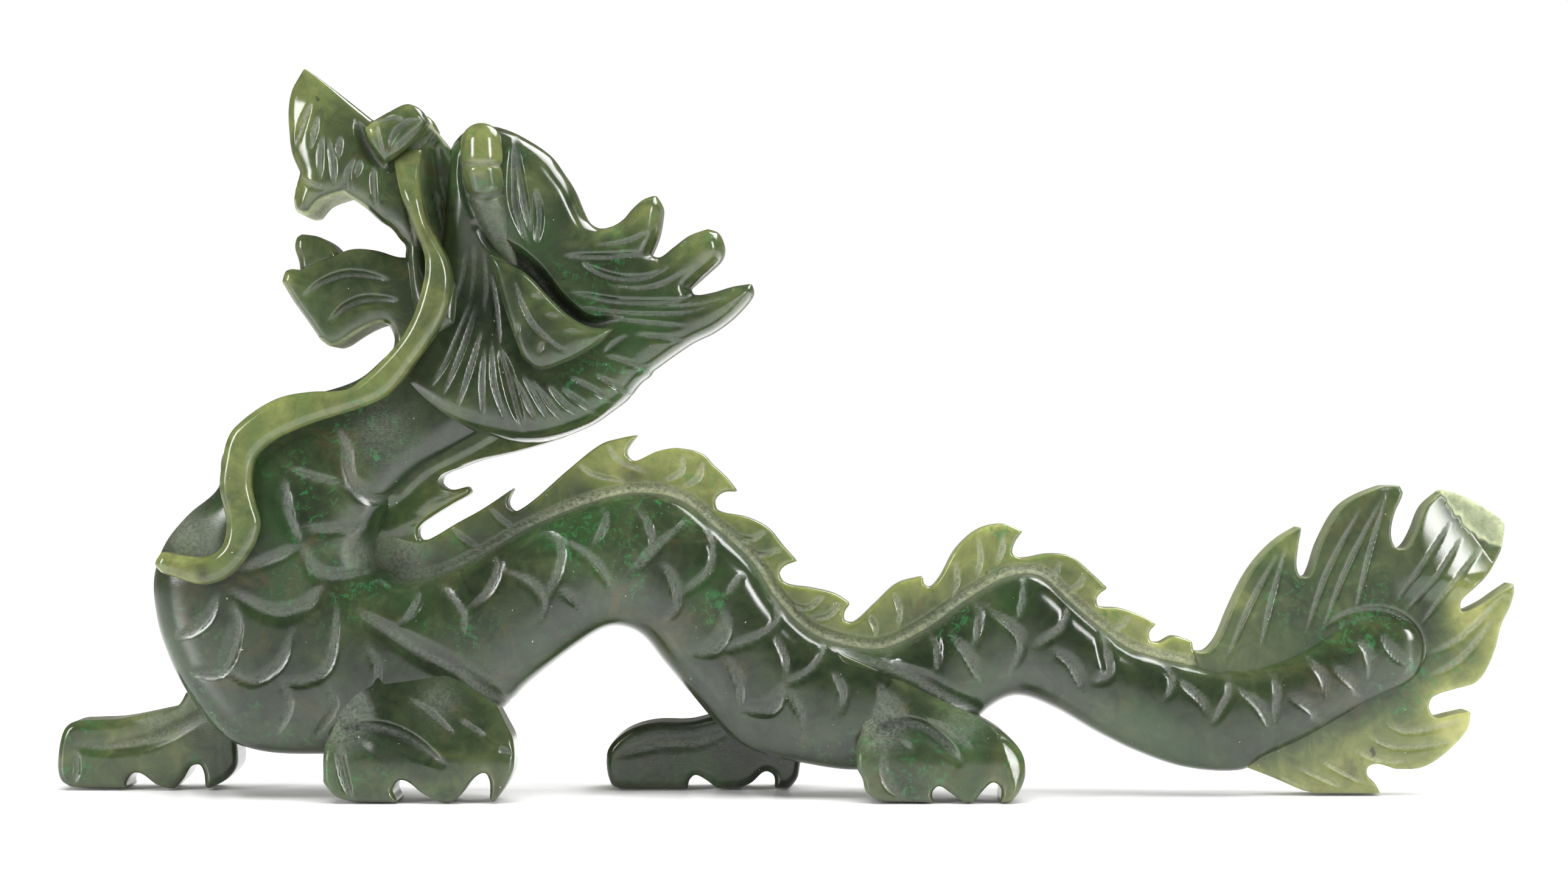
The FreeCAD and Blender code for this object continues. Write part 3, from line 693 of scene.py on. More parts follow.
slab(
    "dorsal_fin", "jade_fin", DORSAL, -2.3, 2.3, nodes=[f"dorsal_fin_{k}" for k in range(1, 11)],
    r=0.5, spare=5.4, face=web(2.3, 5.4), dull=dusty_root,
    strokes=DORSAL_LINES + lines(1.8, 0.5, 0.0, BACK[1][:-7]),
    # painted light in the fin's colour, rims and glow patches; painted shade in dark patches along the fin's
    # root
    painted_glow=lambda X, Z: 0.30 + 0.20 * ramp(X, -40, -26), rim_glow=0.18,
    deep=[(x, z + 1.6, 2.1, 0.7) for x, z in BACK[1][:6]],
    glow=[(-24, 46, 6, 0.22), (-14, 46, 4, 0.08), (30, 35, 5, 0.15), (50, 22, 6, 0.1)],
    step=FINE,
)
NAPE = [
    [(-29.9, 48.9), (-34.0, 47.6), (-37.6, 46.6), (-41.9, 45.6), (-44.8, 44.5), (-47.0, 43.6), (-47.5, 42.5),
     (-46.1, 41.5), (-43.6, 42.0)],
    [(-43.2, 41.1), (-45.5, 39.7), (-48.4, 37.9), (-50.3, 36.4), (-50.4, 35.0), (-49.3, 34.0)],
    [(-50.6, 31.0), (-58.0, 29.0)],
    [(-60.0, 44.0), (-46.0, 54.0), (-29.9, 48.9)],
]
slab(
    "nape_fin", "jade_fin", NAPE, -6.0, 6.0, nodes=["nape_fin_upper", "nape_fin_lower"],
    # painted light in the fin's colour and rims; painted shade in dark patches along the crease with the neck
    r=0.8, face=web(2.2, 6.0), painted_glow=0.34, rim_glow=0.16,
    strokes=lines(0.9, 0.45, 0.3,
                  [(-50.8, 38.5), (-48.0, 40.4), (-45.0, 41.2)], [(-52.0, 36.8), (-49.6, 37.8)]),
    deep=[(x + 0.8, z - 0.4, 1.5, 0.35) for x, z in BACK[0][2:]],
)

TAIL = [
    [(56.2, 19.4), (57.9, 19.4), (59.5, 21.2), (61.1, 24.9), (63.0, 28.9), (65.0, 31.9), (67.8, 34.7),
     (70.9, 36.6)],
    [(70.4, 33.7), (70.2, 31.0), (70.8, 29.7), (71.9, 29.8), (73.6, 34.5), (76.6, 39.4), (81.7, 42.0),
     (84.4, 42.2)],
    [(84.8, 41.0), (83.6, 38.4), (83.1, 35.6), (83.7, 33.7), (85.0, 33.6), (86.4, 35.6), (88.0, 39.2),
     (90.7, 41.6)],
    [(93.7, 40.7), (96.4, 39.3), (98.6, 37.8)],
    [(99.5, 36.9), (99.2, 35.1), (98.4, 32.6), (97.0, 30.3), (94.5, 28.1), (92.7, 26.3), (92.9, 24.9),
     (95.6, 25.9), (98.0, 27.5), (100.1, 28.9)],
    [(99.6, 26.1), (98.2, 23.0), (97.4, 19.8), (96.0, 16.6), (94.5, 15.0), (91.7, 14.2), (88.9, 13.2),
     (88.3, 11.8), (89.3, 10.4), (91.7, 10.8), (94.1, 11.3)],
    [(93.7, 9.0), (92.1, 6.9), (89.3, 4.5), (86.9, 3.4), (83.7, 3.3)],
    [(81.3, 4.0), (80.0, 3.6), (79.9, 2.5), (80.9, 1.4), (81.7, 0.0)],
    [(72.8, 0.0)],
    [(70.8, 0.5), (66.8, 2.2), (61.0, 4.4)],
    [(66.0, 12.0)],
    [(57.5, 13.0)],
    [(56.2, 19.4)],
]
TAIL_LINES = lines(
    0.85, 0.42, 0.5,
    [(60.7, 18.6), (63.9, 26.1), (67.4, 32.5)],
    [(65.2, 19.8), (66.6, 26.1), (68.6, 33.3)],
    [(71.4, 21.8), (74.2, 30.1), (78.8, 38.8)],
    [(73.8, 22.6), (77.0, 30.9), (81.7, 40.0)],
    [(78.2, 24.9), (80.1, 32.9), (82.5, 40.8)],
    [(83.9, 26.5), (86.9, 30.9), (91.3, 36.9)],
    [(85.3, 25.3), (88.9, 29.3), (92.9, 34.9)],
    [(87.3, 23.3), (91.3, 28.5), (96.0, 33.7)],
) + lines(
    0.85, 0.42, -0.5,
    [(88.5, 19.0), (92.9, 21.4), (98.8, 27.3)],
    [(88.1, 15.8), (92.5, 18.2), (97.2, 23.7)],
    [(82.1, 9.6), (85.7, 8.4), (93.3, 10.0)],
    [(79.8, 7.8), (84.1, 6.3), (91.3, 6.9)],
    [(77.8, 5.9), (81.7, 4.5), (86.1, 4.3)],
    [(73.4, 4.5), (76.5, 2.9), (79.6, 1.2)],
    [(70.3, 3.5), (73.6, 2.1), (76.9, 0.5)],
    [(67.8, 2.3), (69.6, 1.5), (71.6, 0.5)],
)
BREAK = [(90.6, 42.0), (91.0, 41.2), (91.6, 39.4), (93.8, 36.9), (95.7, 35.1), (97.2, 34.1), (98.7, 33.8),
         (99.9, 33.6)]
TAIL_END = [(74.0, 22.8), (76.6, 24.4), (80.3, 25.2), (83.6, 24.7), (86.2, 22.8), (87.5, 19.8), (86.4, 16.9),
            (84.2, 14.9)]


def past_break(X, Z):
    """How far a point lies beyond the near rim of the third lobe's broken end."""
    d, _, side = nearest(X, Z, smooth(sighted(BREAK, -4.0)))
    rough = 0.22 * np.sin(1.9 * X + 0.7 * Z) * np.sin(1.3 * Z - 1.1 * X) + 0.10 * np.sin(3.7 * X - 2.1 * Z)
    near = (X > 88) & (Z > 31)
    return np.where(near, d * side + rough, -9.0)


def tail_faces(X, Z):
    """The fin's two faces. The broken lobe is thicker, its near face leans back towards the tip, and its end
    slopes away from the near side."""
    lobe = 1.6 * np.exp(-((X - 91.5) ** 2 / 26 + (Z - 36.0) ** 2 / 36))
    out = np.clip(0.82 * (X - 88.6) + 0.57 * (Z - 30.4), 0, 7.5)
    lean = (0.24 * out + 0.02 * out**2) * ramp(Z, 27.5, 30.5)
    lost = np.clip(past_break(X, Z) / 3.4, 0, 1)
    thick = ramp(Z, 26.5, 30) * ramp(X, 82, 87)
    near = -3.6 * thick - 3.0 * (1 - thick)
    return near + lean + (4.8 - lean) * lost, 3.0 + lobe


def broken_rim(X, Z, d):
    """The third lobe of the tail has lost its tip: the break is raw stone."""
    walls = np.clip(1 - d / 0.35, 0, 1) * 0.42
    past = past_break(X, Z)
    chips = 0.4 * np.exp(-((past / 0.45) ** 2)) + 0.25 * ramp(d, 1.2, 0.2)
    return np.clip(past * 3 + 0.5, 0, 1) * (0.46 + chips) + walls * (past < 0)


def tail_light(X, Z):
    """Painted light: palest in the low lobes and in those past the end of the tail, as if light came through
    them.
    """
    low = ramp(Z - 0.35 * (X - 80), 16, 6)
    tips = ramp(X, 87, 92) * ramp(Z, 33, 27)
    return 0.26 + 0.34 * low + 0.24 * tips


slab(
    "tail_fin", "jade_fin", TAIL, -3.0, 3.0, nodes=[f"tail_fin_{k}" for k in range(1, 7)],
    # painted light in the fin's colour, rims and glow patches; painted shade in a dark patch near the fin's
    # root
    r=0.45, strokes=TAIL_LINES + lines(0.9, 0.6, 0.0, TAIL_END), painted_glow=tail_light, rim_glow=0.14,
    glow=[(97, 25, 5, 0.20), (62, 26, 4, 0.12), (69, 34, 3, 0.3), (95, 34, 4, 0.12)],
    deep=[(70, 24, 5, 0.12)], raw=broken_rim, face=tail_faces, spare=2.4, step=FINE,
)

# ---------------- legs


def flank(hidden, sole, left, toe=None):
    """A leg's outer face: sunk in the flank along its upper and left edges, it swells out to the foot.
    toe is the line of a flat facet ground across the last toe."""

    def face(X, Z):
        t = ramp(Z, 20.0, 5.0) * np.maximum(ramp(X, left, left + 9), ramp(Z, 13.0, 6.0))
        outer = hidden + (sole - hidden) * t
        if toe:
            d, _, side = nearest(X, Z, np.array(toe))
            outer = outer + 0.5 * np.clip(d * side, 0, 4)
        inner = np.full(X.shape, 3.6) * np.sign(sole)
        return np.minimum(outer, inner), np.maximum(outer, inner)

    return face


FORELEG_LEFT = [
    [(-59.5, 24.8), (-61.6, 16.0), (-62.0, 9.2), (-63.0, 6.4), (-63.1, 1.5)],
    [(-61.6, -0.3), (-59.6, -1.0), (-57.0, -1.25)],
    [(-52.8, -1.3)],
    [(-53.6, 0.5), (-52.7, 1.8), (-51.4, 1.5), (-49.4, -0.1), (-46.8, -1.3)],
    [(-45.6, -1.3)],
    [(-44.3, -0.3), (-42.5, 2.0), (-41.0, 2.8), (-40.3, 1.6), (-40.3, -1.2)],
    [(-39.6, -1.2)],
    [(-38.0, 1.1), (-37.0, 3.6), (-37.1, 7.1), (-38.3, 9.6), (-39.6, 12.0)],
    [(-45.0, 15.4), (-49.8, 17.9), (-54.6, 21.1), (-59.5, 24.8)],
]
HINDLEG_LEFT = [
    [(7.0, 19.2), (9.6, 13.6), (10.8, 9.0), (9.9, 6.0), (10.0, 3.3)],
    [(10.8, 1.8), (11.2, 0.2), (12.8, -1.1)],
    [(20.6, -1.3)],
    [(20.3, 0.1), (21.2, 1.0), (22.6, 0.2), (24.6, -1.3)],
    [(26.0, -1.3)],
    [(27.1, 0.2), (28.6, 1.5), (29.7, 0.7), (29.6, -1.3)],
    [(31.0, -1.3)],
    [(32.4, 0.4), (33.2, 2.8), (32.6, 5.6), (30.2, 8.2), (27.4, 10.0)],
    [(21.5, 12.6), (15.4, 15.6), (7.0, 19.2)],
]
FORELEG_RIGHT = [
    [(-60.0, 20.0), (-74.0, 17.0), (-81.8, 13.9)],
    [(-83.0, 12.0), (-85.4, 11.3), (-91.1, 10.2), (-94.9, 10.0), (-97.3, 9.8), (-98.5, 8.8), (-99.2, 6.4),
     (-99.4, 3.3), (-98.9, 1.7), (-97.6, 0.9)],
    [(-95.4, 0.75), (-89.8, 0.7)],
    [(-90.0, 1.6), (-89.0, 2.8), (-87.8, 2.6), (-85.9, 1.2), (-84.4, 0.7)],
    [(-83.6, 0.7)],
    [(-82.2, 2.0), (-81.1, 3.7), (-80.0, 3.9), (-79.4, 2.8), (-79.2, 0.7)],
    [(-78.6, 0.7)],
    [(-76.2, 2.0), (-74.8, 3.9), (-74.9, 7.5)],
    [(-66.0, 6.0), (-55.0, 8.0)],
    [(-60.0, 20.0)],
]
HINDLEG_RIGHT = [
    [(-12.0, 20.0), (-9.9, 14.0), (-9.5, 10.6)],
    [(-12.9, 9.8), (-17.7, 9.7), (-21.4, 8.6), (-24.0, 6.2), (-24.3, 3.6), (-23.6, 1.2), (-22.6, 0.7)],
    [(-13.1, 0.7)],
    [(-13.1, 1.5), (-12.2, 2.5), (-10.8, 1.9), (-9.2, 0.7)],
    [(-6.0, 0.7)],
    [(-4.4, 1.5), (-2.6, 3.0), (-1.4, 2.4), (-1.3, 0.7)],
    [(0.8, 0.7)],
    [(1.9, 2.2), (2.4, 4.6), (5.0, 10.0)],
    [(-4.0, 18.0), (-12.0, 20.0)],
]
# painted light for the near legs' colour and rims
NEAR_LEGS = dict(painted_glow=0.17, rim_glow=0.16, r=0.9)
slab(
    "foreleg_left", "jade_body", FORELEG_LEFT, -13.0, -3.6, face=flank(-8.8, -13.0, -63.0),
    strokes=lines(3.0, 1.7, 0.6, [(-61.4, 8.2), (-56.4, 9.0), (-51.7, 7.6), (-46.8, 4.4)])
    + lines(1.5, 0.8, 0.0, [(-61.0, 7.6), (-60.4, 3.6), (-59.0, -1.2)])
    + lines(1.2, 0.7, 0.6, [(-51.6, 12.9), (-48.6, 11.0), (-45.1, 8.1)],
            [(-44.4, 10.2), (-42.4, 8.7), (-40.8, 8.0)], [(-38.9, 6.3), (-37.3, 5.3)]),
    # painted light in glow patches; painted shade in the hollow above the foot
    glow=[(-40, 4, 4, 0.16), (-61, 3, 3, 0.10)],
    deep=[(-58.5, 10.8, 2.6, 0.8), (-57, 8.0, 2.6, 0.6), (-52, 7.0, 2.6, 0.6)],
    dull=lambda X, Z: spots(X, Z, [(-59.0, 10.8, 3.0, 1.6), (-46, 13.5, 3.0, 0.4)]), **NEAR_LEGS,
)
slab(
    "hindleg_left", "jade_body", HINDLEG_LEFT, -13.0, -3.6,
    face=flank(-7.8, -13.0, 9.0, [(29.0, 8.0), (31.6, -1.4)]),
    strokes=lines(3.0, 1.7, 0.6,
                  [(11.8, 6.2), (13.4, 8.4), (16.6, 9.4), (19.9, 8.6), (22.7, 6.2), (23.9, 4.6)])
    + lines(1.4, 0.6, 0.0,
            [(13.6, 5.4), (14.0, 1.8), (16.8, -1.2)], [(19.4, 10.4), (22.8, 8.4), (25.9, 6.0)]),
    # painted light in glow patches; painted shade in the hollow above the foot
    glow=[(31, 4, 4, 0.14), (12, 2, 3, 0.12)],
    deep=[(13.0, 10.4, 2.6, 0.8), (15.0, 7.6, 2.6, 0.65), (20, 7.8, 2.6, 0.65)],
    dull=lambda X, Z: spots(X, Z, [(12.5, 10.4, 3.0, 1.6), (24, 10.5, 3.0, 0.5)]), **NEAR_LEGS,
)
# painted light for the far legs' colour and rims
FAR_LEGS = dict(painted_glow=0.08, rim_glow=0.10, r=1.1)
slab(
    "foreleg_right", "jade_body", FORELEG_RIGHT, 4.0, 13.0,
    strokes=lines(2.6, 0.9, 0.4, [(-97.0, 6.4), (-93.0, 6.3), (-86.3, 7.6), (-80.7, 10.4), (-77.0, 12.5)])
    + lines(1.3, 0.6, 0.0, [(-97.2, 6.0), (-97.0, 3.2), (-97.6, 0.9)]),
    # painted light in glow patches on the far foreleg
    glow=[(-90, 6, 9, 0.40), (-79, 11, 5, 0.12), (-99, 4, 2, 0.1)],
    dull=lambda X, Z: spots(X, Z, [(-86, 10.5, 3.0, 0.6), (-79, 12, 3.5, 0.6)]), **FAR_LEGS,
)
slab(
    "hindleg_right", "jade_body", HINDLEG_RIGHT, 4.0, 13.0,
    strokes=lines(2.2, 0.5, 0.4, [(-22.5, 5.2), (-17.5, 6.6), (-12.0, 7.0), (-7.0, 9.0)]),
    # painted light in a glow patch; painted shade darkening the far hind foot
    glow=[(-19, 4, 5, 0.05)], deep=[(-16, 6, 6, 0.22), (-6, 8, 6, 0.22)],
    dull=lambda X, Z: spots(X, Z, [(-16, 6, 5.0, 0.2), (-8, 7, 5.0, 0.15)]), **FAR_LEGS,
)

# ---------------- head

HEAD = [
    [(-65.7, 99.3), (-64.3, 98.4), (-62.0, 96.7), (-60.2, 95.3), (-58.2, 93.7), (-56.2, 92.1)],
    [(-54.1, 93.3), (-51.7, 94.4), (-50.2, 93.9), (-48.8, 91.9), (-47.0, 89.7), (-45.7, 87.9)],
    [(-43.5, 84.0), (-44.0, 76.0), (-44.5, 64.0)],
    [(-48.5, 62.0), (-50.5, 65.0), (-51.8, 73.6)],
    [(-51.8, 75.0), (-52.5, 75.8), (-53.7, 77.3), (-55.2, 78.3), (-57.3, 80.2), (-60.2, 82.1)],
    [(-63.2, 81.0), (-64.7, 79.3)],
    [(-65.8, 79.2), (-66.8, 79.9), (-67.0, 81.7), (-66.2, 85.0)],
    [(-67.3, 87.6), (-67.7, 90.5), (-67.8, 93.8), (-67.3, 96.4), (-65.7, 99.3)],
]


def mouth_edge(X, Z, d):
    """The saw left the roof of the mouth and the notch behind the eye chalky."""
    roof = nearest(X, Z, smooth([(-65.6, 79.4), (-63.2, 81.0), (-60.2, 82.1), (-57.3, 80.2)]))[0]
    notch = nearest(X, Z, smooth([(-49.5, 92.5), (-46.5, 88.8)]))[0]
    return np.clip(1 - d / 0.7, 0, 1) * ((roof < 1.4) + 0.4 * (notch < 1.2))


def cheek(X, Z):
    """The head's two side faces: broad at the snout and the cheek, hollowed behind the whiskers."""
    half = 7.4 + 1.0 * ramp(Z, 96, 74) - 3.6 * ramp(X, -50.0, -46.5) * ramp(Z, 66, 74)
    half = half - 1.8 * ramp(Z, 93, 99) - 0.5 * np.sin(0.55 * X + 0.8) * ramp(X, -62, -66)
    return -half, half


slab(
    "head", "jade_head", HEAD, -8.5, 8.5, nodes=["skull", "snout"], r=1.1, swell=(6.4, 4.0), face=cheek,
    strokes=lines(1.1, 0.6, 0.5,
                  [(-64.7, 94.8), (-65.9, 91.7), (-66.9, 88.7)], [(-63.8, 92.8), (-64.8, 88.4)],
                  [(-63.2, 90.2), (-63.5, 87.0), (-63.4, 84.0)],
                  [(-62.4, 89.7), (-61.7, 86.4), (-61.6, 83.0)],
                  [(-60.7, 90.0), (-61.1, 86.9)], [(-58.8, 86.9), (-59.8, 84.3), (-59.4, 82.1)],
                  [(-57.9, 86.6), (-58.6, 84.4)], [(-55.9, 86.5), (-56.2, 84.0), (-55.9, 80.2)])
    + lines(2.4, 1.6, -0.3, [(-58.6, 92.2), (-57.6, 89.4), (-56.2, 87.0), (-54.5, 85.2)])
    + lines(2.4, 1.6, 0.3, [(-54.7, 85.2), (-52.6, 86.9), (-50.4, 88.7), (-48.7, 90.6)])
    + lines(0.9, 0.6, 0.3, [(-48.4, 83.6), (-47.4, 79.5), (-46.4, 75.2)],
            [(-47.4, 84.6), (-46.2, 79.8), (-45.2, 74.6)], [(-46.4, 84.6), (-45.2, 80.8), (-44.2, 76.6)],
            [(-48.9, 88.6), (-47.4, 90.4)], [(-66.4, 84.6), (-64.8, 83.4), (-62.6, 82.6)],
            [(-52.6, 83.0), (-51.2, 79.0), (-50.4, 74.6)]),
    # painted light in the head's colour, rims and glow patches; painted shade in the hollow behind the
    # whisker, by the eye and under the cheek
    painted_glow=0.28, rim_glow=0.12, raw=mouth_edge, step=FINE,
    glow=[(-65.8, 91, 4.5, 0.30), (-63, 96, 4, 0.12), (-65, 82, 3, 0.25), (-51, 93, 3, 0.10)],
    deep=[(-46.5, 82, 4.2, 0.32), (-46.0, 76, 3.5, 0.3), (-58.5, 88, 2.6, 0.25), (-47.5, 68, 3.0, 0.3)],
)
JAW = [
    [(-47.0, 74.0), (-52.3, 73.4), (-55.6, 74.3), (-58.2, 74.6), (-59.7, 74.4), (-61.0, 73.9)],
    [(-63.5, 72.9), (-66.2, 71.7)],
    [(-67.4, 71.8), (-68.2, 71.5), (-68.7, 70.1)],
    [(-67.1, 67.4), (-65.1, 64.6), (-63.4, 62.1)],
    [(-62.0, 61.2), (-60.7, 61.5), (-58.7, 62.8), (-56.9, 63.8), (-55.1, 64.4), (-54.1, 64.1), (-53.3, 62.3),
     (-53.7, 60.0)],
    [(-50.0, 57.0), (-44.0, 60.0), (-47.0, 74.0)],
]


def chin(X, Z, d):
    """The jaw's underside is unpolished."""
    under = nearest(X, Z, smooth([(-62.0, 61.2), (-58.7, 62.8), (-55.1, 64.4)]))[0]
    return np.clip(1 - d / 0.7, 0, 1) * (under < 1.2)


slab(
    "lower_jaw", "jade_head", JAW, -6.6, 6.6, r=0.9, swell=(5.9, 3.0),
    strokes=lines(1.7, 1.2, 0.5, [(-65.5, 68.2), (-63.3, 69.8), (-60.2, 70.9), (-57.6, 70.9), (-54.3, 70.3)],
                  [(-62.1, 64.7), (-60.0, 66.5), (-57.4, 67.5), (-53.0, 67.5)]),
    # painted light in the jaw's colour, rims and a glow patch at the chin
    painted_glow=0.27, rim_glow=0.14, glow=[(-66.5, 69, 3.5, 0.22)], raw=chin, step=FINE,
)
slab(
    "jaw_tooth", "jade_head",
    [[(-60.6, 73.2), (-61.3, 74.6), (-62.4, 75.6), (-63.9, 76.3), (-66.0, 76.6)],
     [(-66.7, 76.0), (-66.9, 74.6), (-66.4, 73.0), (-66.1, 70.8)], [(-63.0, 71.5), (-60.6, 73.2)]],
    # painted light in the tooth's colour and rims
    -5.4, 5.4, r=0.9, swell=(4.6, 2.0), painted_glow=0.40, rim_glow=0.12, step=FINE,
)

EYE = [
    [(-57.4, 91.0), (-56.4, 91.9), (-54.9, 92.7), (-53.2, 93.6), (-51.6, 94.3), (-49.9, 93.8), (-48.8, 92.0)],
    [(-49.6, 90.6), (-51.6, 88.4), (-53.2, 87.0), (-54.6, 86.2)],
    [(-55.6, 87.4), (-56.8, 89.2), (-57.4, 91.0)],
]
EYE_CUTS = (
    lines(0.9, 0.7, -0.6, [(-53.9, 88.0), (-53.5, 89.6), (-52.6, 90.9), (-51.4, 91.7), (-49.2, 92.1)])
    + lines(0.8, 0.5, 0.3, [(-53.4, 88.2), (-51.4, 89.6), (-49.5, 91.6)])
    + lines(0.7, 0.4, 0.6, [(-55.7, 91.8), (-55.4, 89.8), (-54.8, 87.4)])
    + lines(1.2, 0.6, 0.5, [(-56.6, 91.7), (-54.8, 92.2), (-53.4, 92.4), (-51.9, 92.1)])
)


def horn_field(side):
    """A round club standing out from the mane, with a neck ring cut round it, on a flattening stem."""
    spine = np.array([(-36.6, 71.5), (-38.0, 75.0), (-39.3, 78.6), (-40.2, 82.0), (-40.6, 84.6),
                      (-40.65, 86.6), (-40.7, 88.3)])
    thick = np.array([0.8, 1.5, 2.2, 2.62, 2.72, 2.85, 2.75])
    off = np.array([4.6, 5.4, 6.5, 7.5, 7.9, 7.9, 7.9])
    at = np.concatenate([[0], np.cumsum(np.linalg.norm(np.diff(spine, axis=0), axis=1))])

    def build(X, Z, y):
        d, s, _ = nearest(X, Z, spine)
        width = np.interp(s, at / at[-1], thick)
        ring = 0.40 * np.exp(-(((Z - 85.3) / 0.30) ** 2))
        ring = ring + 0.45 * np.exp(-(((Z - 81.0 - 0.10 * (X + 40.6) ** 2) / 0.36) ** 2))
        width = width - ring
        middle = side * np.interp(s, at / at[-1], off)
        field = np.sqrt((d**2)[:, :, None] + ((y - middle[:, :, None]) * 0.92) ** 2) - width[:, :, None]
        dull = 0.5 * ramp(Z, 81.5, 79.0)
        # painted light: the club lighter than the stem; painted shade in the neck ring
        light = 0.22 + 0.34 * ramp(Z, 80, 87)
        maps = {"cut": np.clip(ring * 1.6 + dull, 0, 1), "painted_glow": light, "deep": ring * 0.6}
        return field, maps

    return build


EAR = [
    [(-40.4, 74.0), (-39.0, 69.1), (-38.0, 65.6), (-36.9, 62.4), (-35.8, 59.7), (-34.3, 58.2)],
    [(-32.9, 58.0), (-30.2, 58.9), (-27.5, 60.2), (-25.3, 61.6), (-23.2, 63.6)],
    [(-26.4, 63.9), (-29.1, 65.2), (-31.8, 67.6), (-35.3, 71.2), (-40.4, 74.0)],
]
WHISKER = [
    [(-53.9, 87.2), (-53.3, 84.8), (-52.5, 82.0), (-51.5, 79.6), (-50.3, 76.4), (-49.3, 73.8), (-49.2, 71.2),
     (-49.7, 68.7), (-50.5, 66.1), (-51.7, 63.5), (-53.3, 61.2), (-55.6, 58.7), (-57.6, 56.9), (-60.0, 55.3),
     (-64.9, 55.0), (-68.8, 54.3), (-72.0, 52.7), (-75.3, 50.0), (-76.3, 48.2), (-76.8, 46.0), (-77.2, 43.4),
     (-77.2, 41.3), (-76.6, 38.6), (-76.3, 36.4), (-76.8, 34.1), (-78.1, 32.8), (-80.6, 32.4), (-85.2, 33.1)],
    [(-86.1, 31.4), (-85.2, 30.2)],
    [(-83.2, 29.5), (-80.0, 28.6), (-77.4, 29.0), (-75.2, 30.3), (-73.6, 32.2), (-72.3, 34.4), (-71.6, 37.0),
     (-72.3, 39.6), (-72.9, 42.5), (-72.3, 46.0), (-70.0, 48.2), (-67.5, 49.5), (-64.3, 50.8), (-61.4, 51.7),
     (-58.2, 52.7), (-55.0, 54.1), (-52.7, 56.2), (-50.5, 59.1), (-48.2, 62.3), (-46.7, 64.8), (-45.9, 67.4),
     (-45.6, 70.5), (-46.1, 73.0), (-47.4, 75.6), (-48.8, 78.2), (-49.6, 81.5), (-50.1, 85.3), (-49.9, 88.6)],
    [(-52.0, 88.4), (-53.9, 87.2)],
]


def whisker_faces(side):
    """The whisker rises out of the cheek below the eye."""

    def face(X, Z):
        outer = side * (11.4 - 3.6 * ramp(Z, 80, 88.5))
        inner = np.full(X.shape, 4.6 * side)
        return np.minimum(outer, inner), np.maximum(outer, inner)

    return face


def whisker_light(X, Z):
    """Painted light: green below the eye, lighter yellow-green where the whisker hangs free, as if light came
    through it.
    """
    return 0.47 - 0.12 * ramp(Z, 74, 86)


for side, name in ((-1, "left"), (1, "right")):
    slab(
        f"brow_{name}", "jade_head", EYE, *sorted((3.0 * side, 9.9 * side)), r=0.7,
        # painted light in the eye's colour and rims, and glow patches lightening the eyeball and brow
        swell=(2.3, 2.2), strokes=EYE_CUTS, painted_glow=0.27, rim_glow=0.06, step=FINEST,
        glow=[(-55.4, 90.0, 1.7, 0.30), (-50.6, 93.2, 1.6, 0.16)], mirror=side > 0,
    )
    horn_box = (-44.5, -32.0, *sorted((3.5 * side, 11.2 * side)), 68.0, 92.5)
    piece(f"horn_{name}", [f"horn_{name}"], horn_box, FINEST, horn_field(side))
    slab(
        f"ear_{name}", "jade_head", EAR, *sorted((4.0 * side, 10.2 * side)), r=0.9,
        swell=(2.2, 3.0),
        strokes=lines(0.9, 0.5, 0.4,
                      [(-36.9, 70.5), (-35.8, 67.0), (-33.9, 63.7), (-31.2, 61.3), (-29.3, 60.2)])
        + lines(0.8, 0.4, 0.0,
                [(-30.2, 63.3), (-27.2, 63.2)], [(-32.7, 65.5), (-30.4, 65.3)],
                [(-34.5, 68.3), (-32.8, 67.8)], [(-36.3, 64.3), (-36.9, 62.4)],
                [(-32.9, 61.8), (-33.5, 60.2)]),
        # painted light in the ear's colour and rims
        painted_glow=0.22, rim_glow=0.10, step=FINE, mirror=side > 0,
    )
    slab(
        f"whisker_{name}", "jade_fin", WHISKER, *sorted((4.6 * side, 11.4 * side)), r=1.3,
        # painted light in the whisker's colour, rims and glow patches; painted shade in a small dark spot
        # inside the curl
        painted_glow=whisker_light, rim_glow=0.10, step=0.3, face=whisker_faces(side),
        glow=[(-80, 31, 5, 0.14), (-70, 51, 5, 0.12), (-49, 68, 4, 0.06)], deep=[(-77.5, 30.4, 0.9, 0.8)],
        mirror=side > 0,
    )

